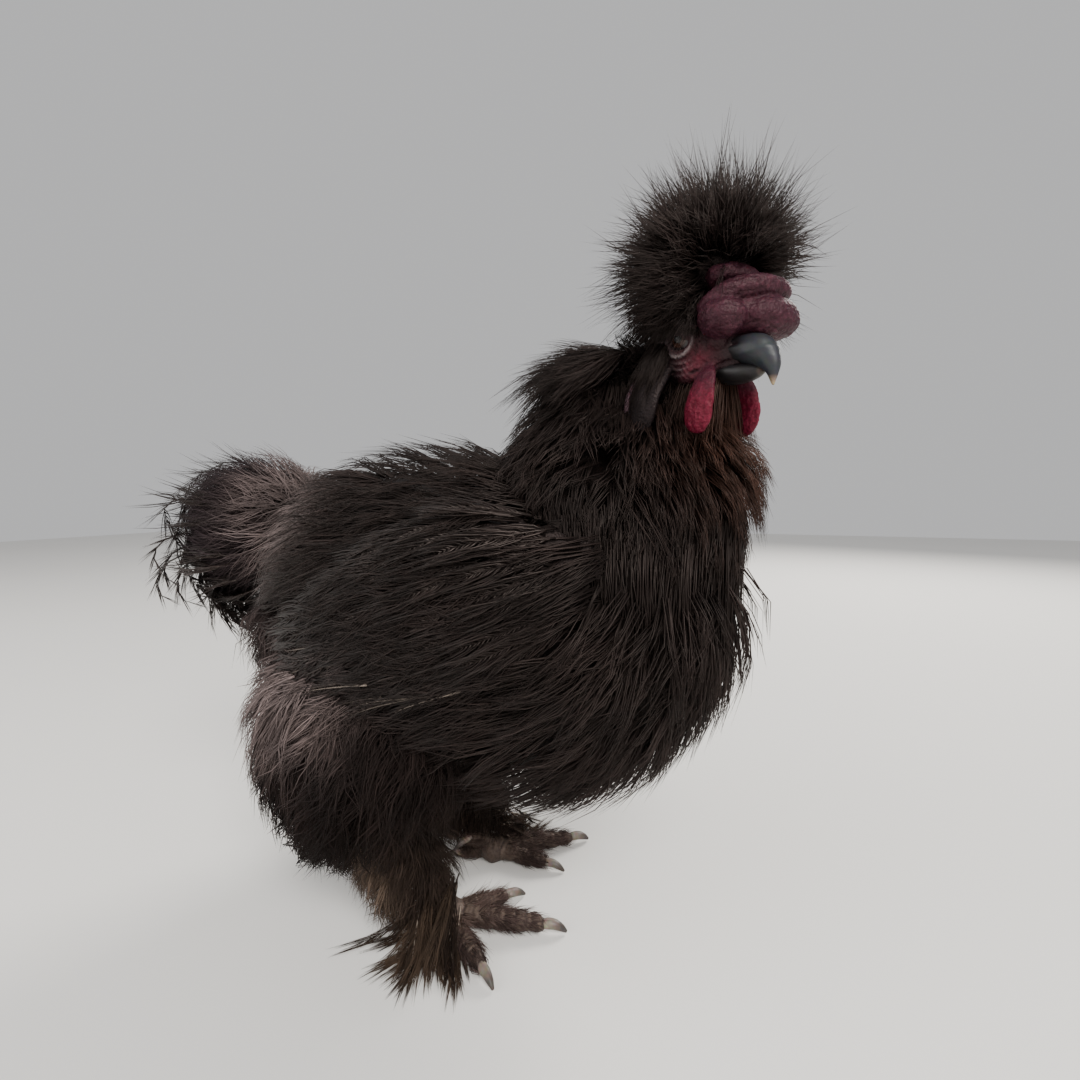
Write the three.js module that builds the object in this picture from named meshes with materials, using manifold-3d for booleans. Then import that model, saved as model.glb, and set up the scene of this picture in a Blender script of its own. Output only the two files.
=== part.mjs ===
// A silkie cock, life size, standing on both feet with its head turned to its right.
// Millimetres, +Z up, breast towards +X, the bird's own left towards +Y.
// The silky plumage is flat, tapered locks, which rise from a core about half as deep as the coat.
// Flight and tail feathers are vanes, and the comb, wattles and lobes are modelled as their own flesh.
import * as THREE from "three";
import Module from "manifold-3d";

const wasm = await Module();
wasm.setup();

const { sin, cos, abs, max, min, PI, round, hypot } = Math;
const V = (x, y, z) => new THREE.Vector3(x, y, z);
const UP = V(0, 0, 1);
const radians = THREE.MathUtils.degToRad;

// Sizes that drive the whole bird
const GAP = 0.35; // between nodes that meet
const COAT = 15; // from a core to the tips of its locks
const HEAD_PLACE = V(112.3, -7.1, 268.6); // the middle of the skull, level with the eyes
const HEAD_TURN = radians(-40); // to the bird's right
const HEAD_TIP = radians(5); // bill a little down
const EYE_RADIUS = 5.8;
const STANCE = 27; // from the midline to each foot
const FLOOR_CLEAR = 1.2; // the coat stops this far above the floor

// Seeded draws, so that every build is the same
let seed = 1;
function draw(spread = 1) {
  seed = (seed * 16807) % 2147483647;
  return (seed / 2147483647 - 0.5) * 2 * spread;
}

// A number read off a short list whose values stand at even steps from 0 to 1
function along(list, t) {
  const place = min(max(t, 0), 1) * (list.length - 1);
  const i = min(Math.floor(place), list.length - 2);
  const f = place - i;
  const at = (k) => list[min(max(k, 0), list.length - 1)];
  const [a, b, c, d] = [at(i - 1), at(i), at(i + 1), at(i + 2)];
  return b + 0.5 * f * (c - a + f * (2 * a - 5 * b + 4 * c - d + f * (3 * (b - c) + d - a)));
}

// Solids
function solidFrom(points, triangles) {
  const made = new wasm.Manifold(
    new wasm.Mesh({
      numProp: 3,
      vertProperties: new Float32Array(points.flatMap((p) => [p.x, p.y, p.z])),
      triVerts: new Uint32Array(triangles.flat()),
    }),
  );
  return made.volume() > 0 ? made : solidFrom(points, triangles.map(([a, b, c]) => [a, c, b]));
}

const union = (pieces) => wasm.Manifold.union(pieces);

// A three.js geometry's solid, moved by a matrix
function solidOf(geometry, matrix) {
  const at = geometry.getAttribute("position");
  const found = new Map();
  const points = [];
  const corners = [...geometry.index.array].map((i) => {
    const key = [at.getX(i), at.getY(i), at.getZ(i)].map((v) => round(v * 1e4)).join();
    if (!found.has(key)) {
      found.set(key, points.length);
      points.push(V(at.getX(i), at.getY(i), at.getZ(i)).applyMatrix4(matrix));
    }
    return found.get(key);
  });
  const triangles = [];
  for (let i = 0; i < corners.length; i += 3) {
    const [a, b, c] = corners.slice(i, i + 3);
    if (a !== b && b !== c && a !== c) triangles.push([a, b, c]);
  }
  return solidFrom(points, triangles);
}

function box(low, high) {
  const middle = low.clone().add(high).multiplyScalar(0.5);
  const size = high.clone().sub(low);
  const place = new THREE.Matrix4().makeTranslation(middle.x, middle.y, middle.z);
  return solidOf(new THREE.BoxGeometry(size.x, size.y, size.z), place);
}

// Rings of points joined into a closed skin, with a point at either end
function skinOver(rings, first, last) {
  const sides = rings[0].length;
  const points = [first, ...rings.flat(), last];
  const corner = (ring, k) => 1 + ring * sides + (k % sides);
  const end = rings.length - 1;
  const triangles = [];
  for (let k = 0; k < sides; k++) {
    triangles.push([0, corner(0, k + 1), corner(0, k)]);
    for (let r = 0; r < end; r++) {
      triangles.push([corner(r, k), corner(r, k + 1), corner(r + 1, k + 1)]);
      triangles.push([corner(r, k), corner(r + 1, k + 1), corner(r + 1, k)]);
    }
    triangles.push([corner(end, k), corner(end, k + 1), points.length - 1]);
  }
  return solidFrom(points, triangles);
}

// Each step of a way along a skin is taken in this many parts
const TRAIL_PARTS = 4;

// A rounded body lofted along a spine, given by its half-widths and half-depths at even steps
class Form {
  constructor({ spine, across = V(0, 1, 0), wide, deep, blunt = 2.4, rings = 12, sides = 16 }) {
    const points = spine.map((p) => (p.isVector3 ? p : V(...p)));
    this.curve = new THREE.CatmullRomCurve3(points, false, "centripetal");
    Object.assign(this, { across, wide, deep, blunt, rings, sides });
  }

  // Where the spine is at a share t of its length, and the directions across it
  station(t) {
    const forward = this.curve.getTangent(min(max(t, 0), 1));
    const side = this.across.clone().addScaledVector(forward, -this.across.dot(forward)).normalize();
    const rise = forward.clone().cross(side);
    const end = max(1 - abs(2 * t - 1) ** this.blunt, 0) ** (1 / this.blunt);
    const half = { side: along(this.wide, t) * end, rise: along(this.deep, t) * end };
    return { centre: this.curve.getPoint(t), side, rise, half };
  }

  // The outline at a turn round the spine, 0 towards `across`
  point(t, turn) {
    const { centre, side, rise, half } = this.station(t);
    return centre
      .addScaledVector(side, half.side * cos(turn))
      .addScaledVector(rise, half.rise * sin(turn));
  }

  normal(t, turn) {
    const [low, high] = [max(t - 0.01, 0.001), min(t + 0.01, 0.999)];
    const forward = this.point(high, turn).sub(this.point(low, turn));
    const around = this.point(t, turn + 0.02).sub(this.point(t, turn - 0.02));
    return around.cross(forward).normalize();
  }

  // A point sunk below the outline
  under(t, turn, depth) {
    return this.point(t, turn).addScaledVector(this.normal(t, turn), -depth);
  }

  // The places passed on a way of `steps` along the skin, which follows a flow from (t, turn)
  trail(t, turn, flow, steps) {
    const places = [{ t, turn }];
    for (const step of steps.flatMap((step) => Array(TRAIL_PARTS).fill(step / TRAIL_PARTS))) {
      const onward = this.point(t + 0.01, turn).sub(this.point(t - 0.01, turn)).multiplyScalar(50);
      const around = this.point(t, turn + 0.02).sub(this.point(t, turn - 0.02)).multiplyScalar(25);
      const lie = laid(flow, this.normal(t, turn)).multiplyScalar(step);
      const [oo, oa, aa] = [onward.dot(onward), onward.dot(around), around.dot(around)];
      const [lo, la] = [lie.dot(onward), lie.dot(around)];
      const area = oo * aa - oa * oa;
      t += (lo * aa - la * oa) / area;
      turn += (la * oo - lo * oa) / area;
      if (t < 0.02 || t > 0.98) break;
      places.push({ t, turn });
    }
    return places.filter((place, k) => k % TRAIL_PARTS === 0);
  }

  // Whether a point lies within the outline, made `slack` times larger
  covers(point, slack = 1) {
    let nearest = null;
    for (let t = 0.04; t < 1; t += 0.04) {
      const gap = this.curve.getPoint(t).distanceTo(point);
      if (!nearest || gap < nearest.gap) nearest = { gap, t };
    }
    const { centre, side, rise, half } = this.station(nearest.t);
    const away = point.clone().sub(centre);
    return hypot(away.dot(side) / half.side, away.dot(rise) / half.rise) < slack;
  }

  // The solid whose skin lies under the outline by a depth read along `depths`, less `grow`
  solid(depths = [0], grow = 0) {
    const turns = Array.from({ length: this.sides }, (_, k) => (2 * PI * k) / this.sides);
    const rings = [];
    for (let r = 1; r < this.rings; r++) {
      const t = 0.5 - 0.5 * cos((PI * r) / this.rings);
      rings.push(turns.map((turn) => this.under(t, turn, along(depths, t) - grow)));
    }
    const [first, last] = [depths[0] - grow, depths.at(-1) - grow];
    const start = this.curve.getPoint(0).addScaledVector(this.curve.getTangent(0), first);
    const stop = this.curve.getPoint(1).addScaledVector(this.curve.getTangent(1), -last);
    return skinOver(rings, start, stop);
  }
}

// A round, tapered horn along a curve, such as a claw
function horn(points, radii, sides, grow) {
  const curve = new THREE.CatmullRomCurve3(points);
  const side = points.at(-1).clone().sub(points[0]).cross(UP).normalize();
  const rings = radii.map((radius, k) => {
    const t = k / radii.length;
    const rise = curve.getTangent(t).cross(side).normalize();
    return Array.from({ length: sides }, (_, n) => {
      const turn = (2 * PI * n) / sides;
      return curve
        .getPoint(t)
        .addScaledVector(side, (radius + grow) * cos(turn))
        .addScaledVector(rise, (radius + grow) * sin(turn));
    });
  });
  const last = points.at(-1).clone().addScaledVector(curve.getTangent(1), grow);
  return skinOver(rings, points[0].clone().addScaledVector(curve.getTangent(0), -grow), last);
}

// The head's own directions: ahead along the bill, right to the bird's right, crown upwards
const ahead = V(cos(HEAD_TURN) * cos(HEAD_TIP), sin(HEAD_TURN) * cos(HEAD_TIP), -sin(HEAD_TIP));
const right = V(sin(HEAD_TURN), -cos(HEAD_TURN), 0);
const crown = right.clone().cross(ahead);
const inHead = (a, r, c) =>
  HEAD_PLACE.clone().addScaledVector(ahead, a).addScaledVector(right, r).addScaledVector(crown, c);

// A rounded lump of flesh, with its half-sizes along the head's directions
function bulb(place, [a, r, c], grow, detail = 10) {
  const turn = new THREE.Matrix4().makeBasis(ahead, right, crown).setPosition(inHead(...place));
  const ball = new THREE.SphereGeometry(1, detail, round(detail * 0.6));
  return solidOf(ball, turn.multiply(new THREE.Matrix4().makeScale(a + grow, r + grow, c + grow)));
}

// Locks and vanes
// A lock's rings stand at shares of its length, with the width and thickness it has there. It is flat
// below and has a low ridge above.
const LOCK = [
  { at: 0, wide: 0.55, thick: 0.9 },
  { at: 0.36, wide: 1, thick: 1 },
  { at: 0.72, wide: 0.72, thick: 0.6 },
];
const SICKLE = [
  { at: 0, wide: 0.6, thick: 1 },
  { at: 0.26, wide: 1, thick: 1 },
  { at: 0.52, wide: 0.95, thick: 0.9 },
  { at: 0.78, wide: 0.65, thick: 0.7 },
];

// The solid of a lock through `stations`, each with a place and the way out of the skin there.
// The last station is its tip, and `roll` turns its flat face about its length.
function lockThrough(stations, { wide, thick, rings = LOCK, roll = 0 }, grow) {
  const tip = stations.at(-1).place;
  const made = rings.map((ring, k) => {
    const { place, out } = stations[k];
    const heading = stations[k + 1].place.clone().sub(k ? stations[k - 1].place : place).normalize();
    const side = out.clone().cross(heading).normalize().applyAxisAngle(heading, roll);
    const top = heading.clone().cross(side);
    const start = k ? place : place.clone().addScaledVector(heading, -grow);
    const rise = thick * ring.thick;
    const slope = (2 * rise) / (wide * ring.wide);
    // Every face moves out by `grow`, so the sharp edges at the sides move further
    const half = rise / slope + (grow * (1 + hypot(1, slope))) / slope;
    return [
      start.clone().addScaledVector(side, half).addScaledVector(top, -rise * 0.4 - grow),
      start.clone().addScaledVector(top, rise * 0.6 + grow * hypot(1, slope)),
      start.clone().addScaledVector(side, -half).addScaledVector(top, -rise * 0.4 - grow),
    ];
  });
  const base = made[0].reduce((sum, p) => sum.add(p), V(0, 0, 0)).divideScalar(3);
  const onward = tip.clone().sub(stations.at(-2).place).normalize();
  return skinOver(made, base, tip.clone().addScaledVector(onward, grow * 8));
}

// The part of a direction that lies in the skin there
function laid(flow, out) {
  return flow.clone().addScaledVector(out, -flow.dot(out)).normalize();
}

// A lock that rises from `depth` under a form's outline and follows its skin to the tip
function lockOn(form, { t, turn, flow, length, depth, sink = 6, flare = 0, rings = LOCK, ...look }, grow) {
  const shares = [...rings.map(({ at }) => at), 1];
  const steps = shares.slice(1).map((at, k) => (at - shares[k]) * length);
  const places = form.trail(t, turn, flow, steps);
  const stations = places.map((place, k) => {
    const sunk = k ? (depth + flare) * (1 - shares[k]) ** 1.6 - flare : depth + sink;
    return { place: form.under(place.t, place.turn, sunk), out: form.normal(place.t, place.turn) };
  });
  while (stations.length < shares.length) {
    const [last, before] = [stations.at(-1), stations.at(-2) ?? null];
    const heading = before ? last.place.clone().sub(before.place).normalize() : laid(flow, last.out);
    const place = last.place.clone().addScaledVector(heading, steps[stations.length - 1]);
    stations.push({ place, out: last.out });
  }
  return lockThrough(stations, { ...look, rings }, grow);
}

// A lock in free air, whose heading bends from `lift` above its lie down by `droop` at its tip
function freeLock({ root, out, lie, length, lift, droop, sink, rings = LOCK, ...look }, grow) {
  const shares = [...rings.map(({ at }) => at), 1];
  const place = root.clone().addScaledVector(out, -sink);
  const stations = shares.map((share, k) => {
    const angle = lift - droop * share;
    const heading = lie.clone().multiplyScalar(cos(angle)).addScaledVector(out, sin(angle));
    const way = out.clone().multiplyScalar(cos(angle)).addScaledVector(lie, -sin(angle));
    const station = { place: place.clone(), out: way };
    place.addScaledVector(heading, ((shares[k + 1] ?? 1) - share) * (length + sink));
    return station;
  });
  return lockThrough(stations, { ...look, rings }, grow);
}

// Locks in tiers over a form, side by side in a tier and halfway between those of the tier before, so
// that each lies over the gap below it. `plan` gives one's flow and size, or null where none grows.
function coatOver(form, depths, { tiers, from, to, spacing, plan }, grow) {
  const locks = [];
  for (let i = 0; i < tiers; i++) {
    const t = from + ((to - from) * (i + 0.5)) / tiers;
    const depth = along(depths, t);
    const { half } = form.station(t);
    const girth = PI * (half.side + half.rise);
    const around = max(5, round(girth / spacing));
    for (let k = 0; k < around; k++) {
      const turn = (2 * PI * (k + 0.5 * (i % 2) + draw(0.07))) / around;
      const place = min(max(t + draw(0.008), 0.04), 0.96);
      const [scale, swing, flare] = [1 + draw(0.1), draw(0.08), 1 + draw(1.4)];
      const out = form.normal(place, turn);
      const look = plan({ t: place, turn, root: form.under(place, turn, depth), out });
      if (!look) continue;
      const flow = laid(look.flow, out).applyAxisAngle(out, swing);
      const size = { wide: (girth / around) * 0.96, length: look.length * scale };
      locks.push(lockOn(form, { ...look, ...size, t: place, turn, flow, depth, flare }, grow));
    }
  }
  return locks;
}

// Torso: breast, belly, back and saddle
const torsoForm = new Form({
  spine: [
    [-124, 0, 191],
    [-84, 0, 174],
    [-36, 0, 156],
    [14, 0, 147],
    [66, 0, 153],
    [106, 0, 166],
    [141, 0, 184],
  ],
  wide: [38, 58, 68, 74, 72, 61, 43],
  deep: [46, 78, 86, 88, 84, 63, 42],
  rings: 9,
  sides: 11,
});

// Neck and hackle, thick from the shoulders to the cheeks
const neckForm = new Form({
  spine: [
    [68, 0, 168],
    [78, 0, 204],
    [86, 1, 240],
    [96, 2, 271],
  ],
  wide: [63, 56, 34, 22],
  deep: [64, 62, 56, 36],
  blunt: 3.6,
  rings: 6,
  sides: 9,
});

const skullForm = new Form({
  spine: [inHead(-25, 0, 0), inHead(-9, 0, 1), inHead(7, 0, 0), inHead(24, 0, -5)],
  across: right,
  wide: [13, 15.5, 14, 9],
  deep: [14, 17, 16, 9],
  rings: 7,
  sides: 10,
});

const billForm = new Form({
  spine: [
    inHead(9, -1, -1),
    inHead(20, -1, -0.8),
    inHead(29, -1, -2.2),
    inHead(34.6, -1, -7.5),
    inHead(36.6, -1, -15.5),
  ],
  across: right,
  wide: [8.5, 8, 6.4, 3.8, 1.4],
  deep: [6.5, 5.8, 6, 4.2, 1.8],
  rings: 8,
  sides: 8,
});
const lowerBillForm = new Form({
  spine: [inHead(9, -1, -9.6), inHead(20, -1, -10.2), inHead(31, -1, -10.6)],
  across: right,
  wide: [8, 6.4, 3],
  deep: [4.4, 4, 2.2],
  rings: 5,
  sides: 8,
});

const wattleForm = (side) =>
  new Form({
    spine: [inHead(11, side * 5.5, -3), inHead(14.5, side * 12.5, -18), inHead(14, side * 13.5, -33.5)],
    across: right,
    wide: [2.2, 2.4, 2.8],
    deep: [4, 6.5, 8.4],
    rings: 7,
    sides: 8,
  });

const lobeForm = (side) =>
  new Form({
    spine: [inHead(-5, side * 9, -1), inHead(-9, side * 18.5, -17), inHead(-9.5, side * 19.5, -34)],
    across: right,
    wide: [2.6, 3.4, 3],
    deep: [6, 9.5, 10],
    rings: 6,
    sides: 8,
  });

const thighForm = (side) =>
  new Form({
    spine: [
      [-30, side * 32, 150],
      [-37, side * 39, 106],
      [-34, side * 39, 64],
      [-21, side * 34, 26],
    ],
    wide: [32, 38, 34, 22],
    deep: [62, 67, 57, 38],
    rings: 6,
    sides: 9,
  });

const shankForm = (side) =>
  new Form({
    spine: [
      [-26, side * 33, 66],
      [-16, side * (STANCE + 3), 34],
      [-4, side * STANCE, 8],
    ],
    wide: [11, 8, 7],
    deep: [12, 10, 8],
    rings: 5,
    sides: 7,
  });

// The sleeve of plumage that hangs from the thigh round the shank, down to the foot
const cuffForm = (side) =>
  new Form({
    spine: [
      [-30, side * 36, 66],
      [-20, side * 33, 36],
      [-9, side * 30, 4],
    ],
    wide: [24, 21, 17],
    deep: [30, 28, 22],
    blunt: 3.2,
  });

const wingForm = (side) =>
  new Form({
    spine: [
      [90, side * 50, 190],
      [52, side * 62, 178],
      [8, side * 66, 162],
      [-38, side * 61, 147],
      [-62, side * 54, 140],
    ],
    wide: [8, 11, 11, 9, 6],
    deep: [22, 33, 34, 25, 14],
    rings: 7,
    sides: 8,
  });

const tailForm = new Form({
  spine: [
    [-80, 0, 184],
    [-110, 0, 190],
    [-140, 0, 192],
    [-174, 0, 184],
  ],
  wide: [38, 39, 38, 30],
  deep: [38, 39, 40, 36],
  rings: 6,
  sides: 10,
});

// Flesh and horn of the head
const EYE_AT = { a: 2, r: 11, c: 3.4 }; // ahead, to a side and towards the crown
const eye = (side) => (grow) =>
  bulb([EYE_AT.a, side * EYE_AT.r, EYE_AT.c], [EYE_RADIUS, EYE_RADIUS, EYE_RADIUS], grow, 9);

// A lid is a ring of flesh round the eye, and the brow a fold above it
function lids(side, grow) {
  const outward = right.clone().multiplyScalar(side).addScaledVector(ahead, 0.25).normalize();
  const top = crown.clone().addScaledVector(outward, -crown.dot(outward)).normalize();
  const place = inHead(EYE_AT.a, side * EYE_AT.r, EYE_AT.c).addScaledVector(outward, EYE_RADIUS * 0.62);
  const turn = new THREE.Matrix4().makeBasis(top.clone().cross(outward), top, outward);
  const ring = new THREE.TorusGeometry(EYE_RADIUS * 0.98, 1.5 + grow, 4, 8);
  const brow = bulb([EYE_AT.a - 1, side * (EYE_AT.r + 3.4), EYE_AT.c + 6.4], [8, 3.4, 2.6], grow, 6);
  return [solidOf(ring, turn.setPosition(place)), brow];
}

// The mouth's line runs back under the eye as a slit in the cheeks
function mouthSlit() {
  const slit = new THREE.BoxGeometry(16, 40, 1.1);
  const turn = new THREE.Matrix4().makeBasis(ahead, right, crown).setPosition(inHead(10, 0, -8));
  return solidOf(slit, turn.multiply(new THREE.Matrix4().makeRotationY(radians(18))));
}

const skull = (grow) => {
  const flesh = union([skullForm.solid([0], grow), ...lids(1, grow), ...lids(-1, grow)]);
  return grow > 0 ? flesh : flesh.subtract(mouthSlit());
};

const bill = (grow) => {
  const horny = billForm.solid([0], grow);
  const nostrils = [1, -1].map((side) => bulb([22, side * 7.4, 0.5], [2.6, 2.2, 1], 0, 8));
  return grow > 0 ? horny : horny.subtract(union(nostrils));
};

// A walnut comb: a cap on top, a roll that winds round its front, a broad lobe over the bill and bumps
const COMB_BULBS = [
  { at: [13, -1, 26.5], size: [9, 13, 5.6] },
  { at: [21, -8, 12.5], size: [11, 17, 9.4] },
  { at: [20, 11, 9], size: [8, 6, 6.4] },
  { at: [31, 0, 9], size: [4, 4.2, 4] },
  { at: [30.5, -9, 12.5], size: [4, 5, 4.6] },
  { at: [27, -18, 10], size: [5, 5, 5] },
  { at: [27, -11, 6], size: [5.4, 5, 4.4] },
];
const combRoll = new Form({
  spine: [
    inHead(11, 14, 12),
    inHead(20, 10.5, 18),
    inHead(25.5, 2, 21),
    inHead(25, -13, 22),
    inHead(15, -24, 20),
  ],
  across: crown,
  wide: [4, 4.2, 4.2, 4, 3.6],
  deep: [4.4, 4.8, 4.8, 4.6, 4],
  blunt: 4,
  rings: 7,
  sides: 6,
});
const comb = (grow) =>
  union([combRoll.solid([0], grow), ...COMB_BULBS.map(({ at, size }) => bulb(at, size, grow, 7))]);

// Crest: locks that stand out all round a ball, and lean back from the comb
const CREST_PLACE = [0, -4, 32];
const CREST_RADIUS = 20;
const CREST_LOCKS = 36;
const GOLDEN_TURN = PI * (3 - Math.sqrt(5));
const crestCoat = (grow) => {
  const locks = [];
  for (let k = 0; k < CREST_LOCKS; k++) {
    const height = 1 - (1.76 * (k + 0.5)) / CREST_LOCKS;
    const spread = Math.sqrt(1 - height * height);
    const turn = GOLDEN_TURN * k + draw(0.12);
    const [length, lean] = [28 * (1 + draw(0.14)), radians(84) + draw(0.1)];
    const out = crown
      .clone()
      .multiplyScalar(height)
      .addScaledVector(ahead, spread * cos(turn))
      .addScaledVector(right, spread * sin(turn));
    if (height < 0.15 && out.dot(ahead) > 0.55) continue;
    const lie = laid(crown.clone().multiplyScalar(0.5).addScaledVector(ahead, -1), out);
    const root = inHead(...CREST_PLACE).addScaledVector(out, CREST_RADIUS - 2);
    const look = { root, out, lie, length, wide: 18.5, thick: 5.5, sink: 4 };
    locks.push(freeLock({ ...look, lift: lean, droop: radians(46) }, grow));
  }
  return locks;
};
const crestCore = (grow) => bulb(CREST_PLACE, [CREST_RADIUS, CREST_RADIUS, CREST_RADIUS], grow, 8);

// Coats
// In front of the throat and cheeks the wattles and lobes hang free
function beforeFace(place) {
  const away = place.clone().sub(HEAD_PLACE);
  const [a, r, c] = [away.dot(ahead), abs(away.dot(right)), away.dot(crown)];
  return c > -44 && ((a > 4 && r < 25) || (a > -22 && r > 11 && r < 45 && a < 30 && c > -40));
}

// The hackle is deep over the shoulders and short where it covers the back of the head
const NECK_COAT = [COAT, COAT, COAT - 3, 7];
const hackle = (grow) =>
  coatOver(
    neckForm,
    NECK_COAT,
    {
      tiers: 4,
      from: 1.03,
      to: 0.16,
      spacing: 40,
      plan: ({ t, root, out }) => {
        const flow = V(out.x * 0.5, out.y * 0.3, -1);
        const length = 50;
        const way = laid(flow, out).multiplyScalar(length);
        const covered = [0, 0.5].some((share) => beforeFace(root.clone().addScaledVector(way, share)));
        return covered ? null : { flow, length, thick: 6.2, sink: t > 0.8 ? 3 : 5 };
      },
    },
    grow,
  );

const wings = { right: wingForm(-1), left: wingForm(1) };
const thighs = { right: thighForm(-1), left: thighForm(1) };
const bothWings = Object.values(wings);
const bothThighs = Object.values(thighs);

const torsoCoat = (grow) =>
  coatOver(
    torsoForm,
    [COAT],
    {
      tiers: 7,
      from: 0.99,
      to: 0.04,
      spacing: 39,
      plan: ({ t, root, out }) => {
        if (neckForm.covers(root, 0.98) || bothWings.some((wing) => wing.covers(root, 1.25))) return null;
        if (bothThighs.some((thigh) => thigh.covers(root, 0.85))) return null;
        const flow = V(-1, out.y * 0.2, -0.4);
        return { flow, length: t > 0.8 ? 46 : 60, thick: 6.5, sink: 5 };
      },
    },
    grow,
  );

const THIGH_COAT = [COAT - 2];
const thighCoat = (word, side) => (grow) =>
  coatOver(
    thighs[word],
    THIGH_COAT,
    {
      tiers: 3,
      from: 0.22,
      to: 0.9,
      spacing: 40,
      plan: ({ t, root, out }) => {
        if (root.y * side < 16 || torsoForm.covers(root, 0.92)) return null;
        const flow = V(-0.45 + out.x * 0.3, out.y * 0.3, -1);
        return { flow, length: t > 0.7 ? 36 : 56, thick: 6.5, sink: 5 };
      },
    },
    grow,
  );

const shankCoat = (side) => (grow) =>
  coatOver(
    cuffForm(side),
    [15],
    {
      tiers: 1,
      from: 0.44,
      to: 0.6,
      spacing: 26,
      plan: ({ out }) => {
        const flow = V(-0.25 + out.x * 0.2, side * 0.2 + out.y * 0.2, -1);
        return { flow, length: 27, thick: 4, sink: 3 };
      },
    },
    grow,
  );

// Wing: tiers of vanes from the shoulder back, each over the roots of the next, with long ones last
const WING_TIERS = [
  { t: 0.12, length: 46, count: 3, reach: 0.95 },
  { t: 0.34, length: 50, count: 4, reach: 1.15 },
  { t: 0.56, length: 54, count: 4, reach: 1.2 },
  { t: 0.78, length: 66, count: 5, reach: 1.15 },
];
const wingCoat = (word, side) => (grow) =>
  WING_TIERS.flatMap(({ t, length, count, reach }, tier) =>
    Array.from({ length: count }, (_, k) => {
      const lean = reach * ((2 * (k + 0.25 * (tier % 2 ? 1 : -1))) / (count - 1) - 1);
      const flow = V(-1, side * -0.03, -0.36 + draw(0.05));
      const turn = (side > 0 ? 0 : PI) + side * lean;
      const size = { length: length * (1 + draw(0.08)), wide: 18, thick: 2.8 };
      return lockOn(wings[word], { ...size, t, turn, flow, depth: 3.4, sink: 2 }, grow);
    }),
  );

// Tail: a soft cushion of locks, and curled feathers that arch over it
const SICKLES = [
  { count: 6, across: 24, height: 213, length: 108, droop: 172, lift: 56 },
  { count: 5, across: 30, height: 189, length: 82, droop: 136, lift: 22 },
];
const tailCoat = (grow) => {
  const cushion = coatOver(
    tailForm,
    [COAT],
    {
      tiers: 2,
      from: 0.22,
      to: 0.86,
      spacing: 44,
      plan: ({ root, out }) => {
        if (torsoForm.covers(root, 0.95)) return null;
        const flow = V(-1, out.y * 0.3, 0.1 - 0.5 * abs(out.z));
        return { flow, length: 44, thick: 6, sink: 5 };
      },
    },
    grow,
  );
  const curled = SICKLES.flatMap(({ count, across, height, length, droop, lift }) =>
    Array.from({ length: count }, (_, k) => {
      const fan = (2 * k) / (count - 1) - 1;
      const out = V(0, fan * 0.8, 1).normalize();
      const lie = laid(V(-1, fan * 0.16, 0), out);
      const root = V(-126, fan * across, height - 14 * abs(fan));
      const size = length * (1 - 0.3 * abs(fan)) * (1 + draw(0.06));
      const bend = { lift: radians(lift), droop: radians(droop + draw(8)), roll: fan * 0.9 };
      return freeLock(
        { root, out, lie, length: size, ...bend, wide: 12, thick: 2.8, sink: 4, rings: SICKLE },
        grow,
      );
    }),
  );
  return [...cushion, ...curled];
};

// Feet: five toes each, as the breed has, flat under the pads
const TOES = [
  { name: "inner", yaw: 34, length: 33, radius: 4.2 },
  { name: "middle", yaw: 0, length: 49, radius: 4.6 },
  { name: "outer", yaw: -50, length: 36, radius: 4.2 },
  { name: "hind", yaw: 196, length: 19, radius: 3.6 },
  { name: "fifth", yaw: 158, length: 17, radius: 3.2, raised: 15 },
];
const FOOT_YAW = { right: 14, left: 36 };
const footPlace = (side) => V(0, side * STANCE, 0);

function toeLine(side, toe) {
  const yaw = radians((side > 0 ? FOOT_YAW.left : FOOT_YAW.right) - side * toe.yaw);
  const heading = V(cos(yaw), sin(yaw), 0);
  const rest = toe.radius - 0.5;
  const lift = toe.raised ?? 0;
  const start = footPlace(side).addScaledVector(heading, 1).setZ(rest + 2 + lift * 0.35);
  const knuckle = footPlace(side).addScaledVector(heading, toe.length * 0.5).setZ(rest + 1 + lift * 0.7);
  const tip = footPlace(side).addScaledVector(heading, toe.length).setZ(rest + lift);
  return { heading, start, knuckle, tip };
}

const foot = (side) => (grow) => {
  const toes = TOES.map((toe) => {
    const { start, knuckle, tip } = toeLine(side, toe);
    const slim = [toe.radius * 1.05, toe.radius * 1.1, toe.radius * 0.92];
    return new Form({ spine: [start, knuckle, tip], wide: slim, deep: slim, rings: 3, sides: 6, blunt: 3.4 })
      .solid([0], grow);
  });
  const heel = footPlace(side);
  const pad = new Form({
    spine: [V(heel.x - 8, heel.y, 7), V(heel.x, heel.y, 6), V(heel.x + 9, heel.y, 5.4)],
    wide: [7.5, 9, 8],
    deep: [7, 7, 6],
    rings: 4,
    sides: 7,
  }).solid([0], grow);
  return union([...toes, pad]);
};

const claw = (side, toe) => (grow) => {
  const { heading, tip } = toeLine(side, toe);
  const lift = toe.raised ?? 0;
  const r = toe.radius;
  const place = (run, z) => tip.clone().addScaledVector(heading, run).setZ(z);
  const line = [place(-2, tip.z + 0.6), place(4, tip.z + 0.4), place(9, max(tip.z - 2.6, 0.9 + lift * 0.8))];
  return horn(line, [r * 0.62, r * 0.42], 5, grow);
};

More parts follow.
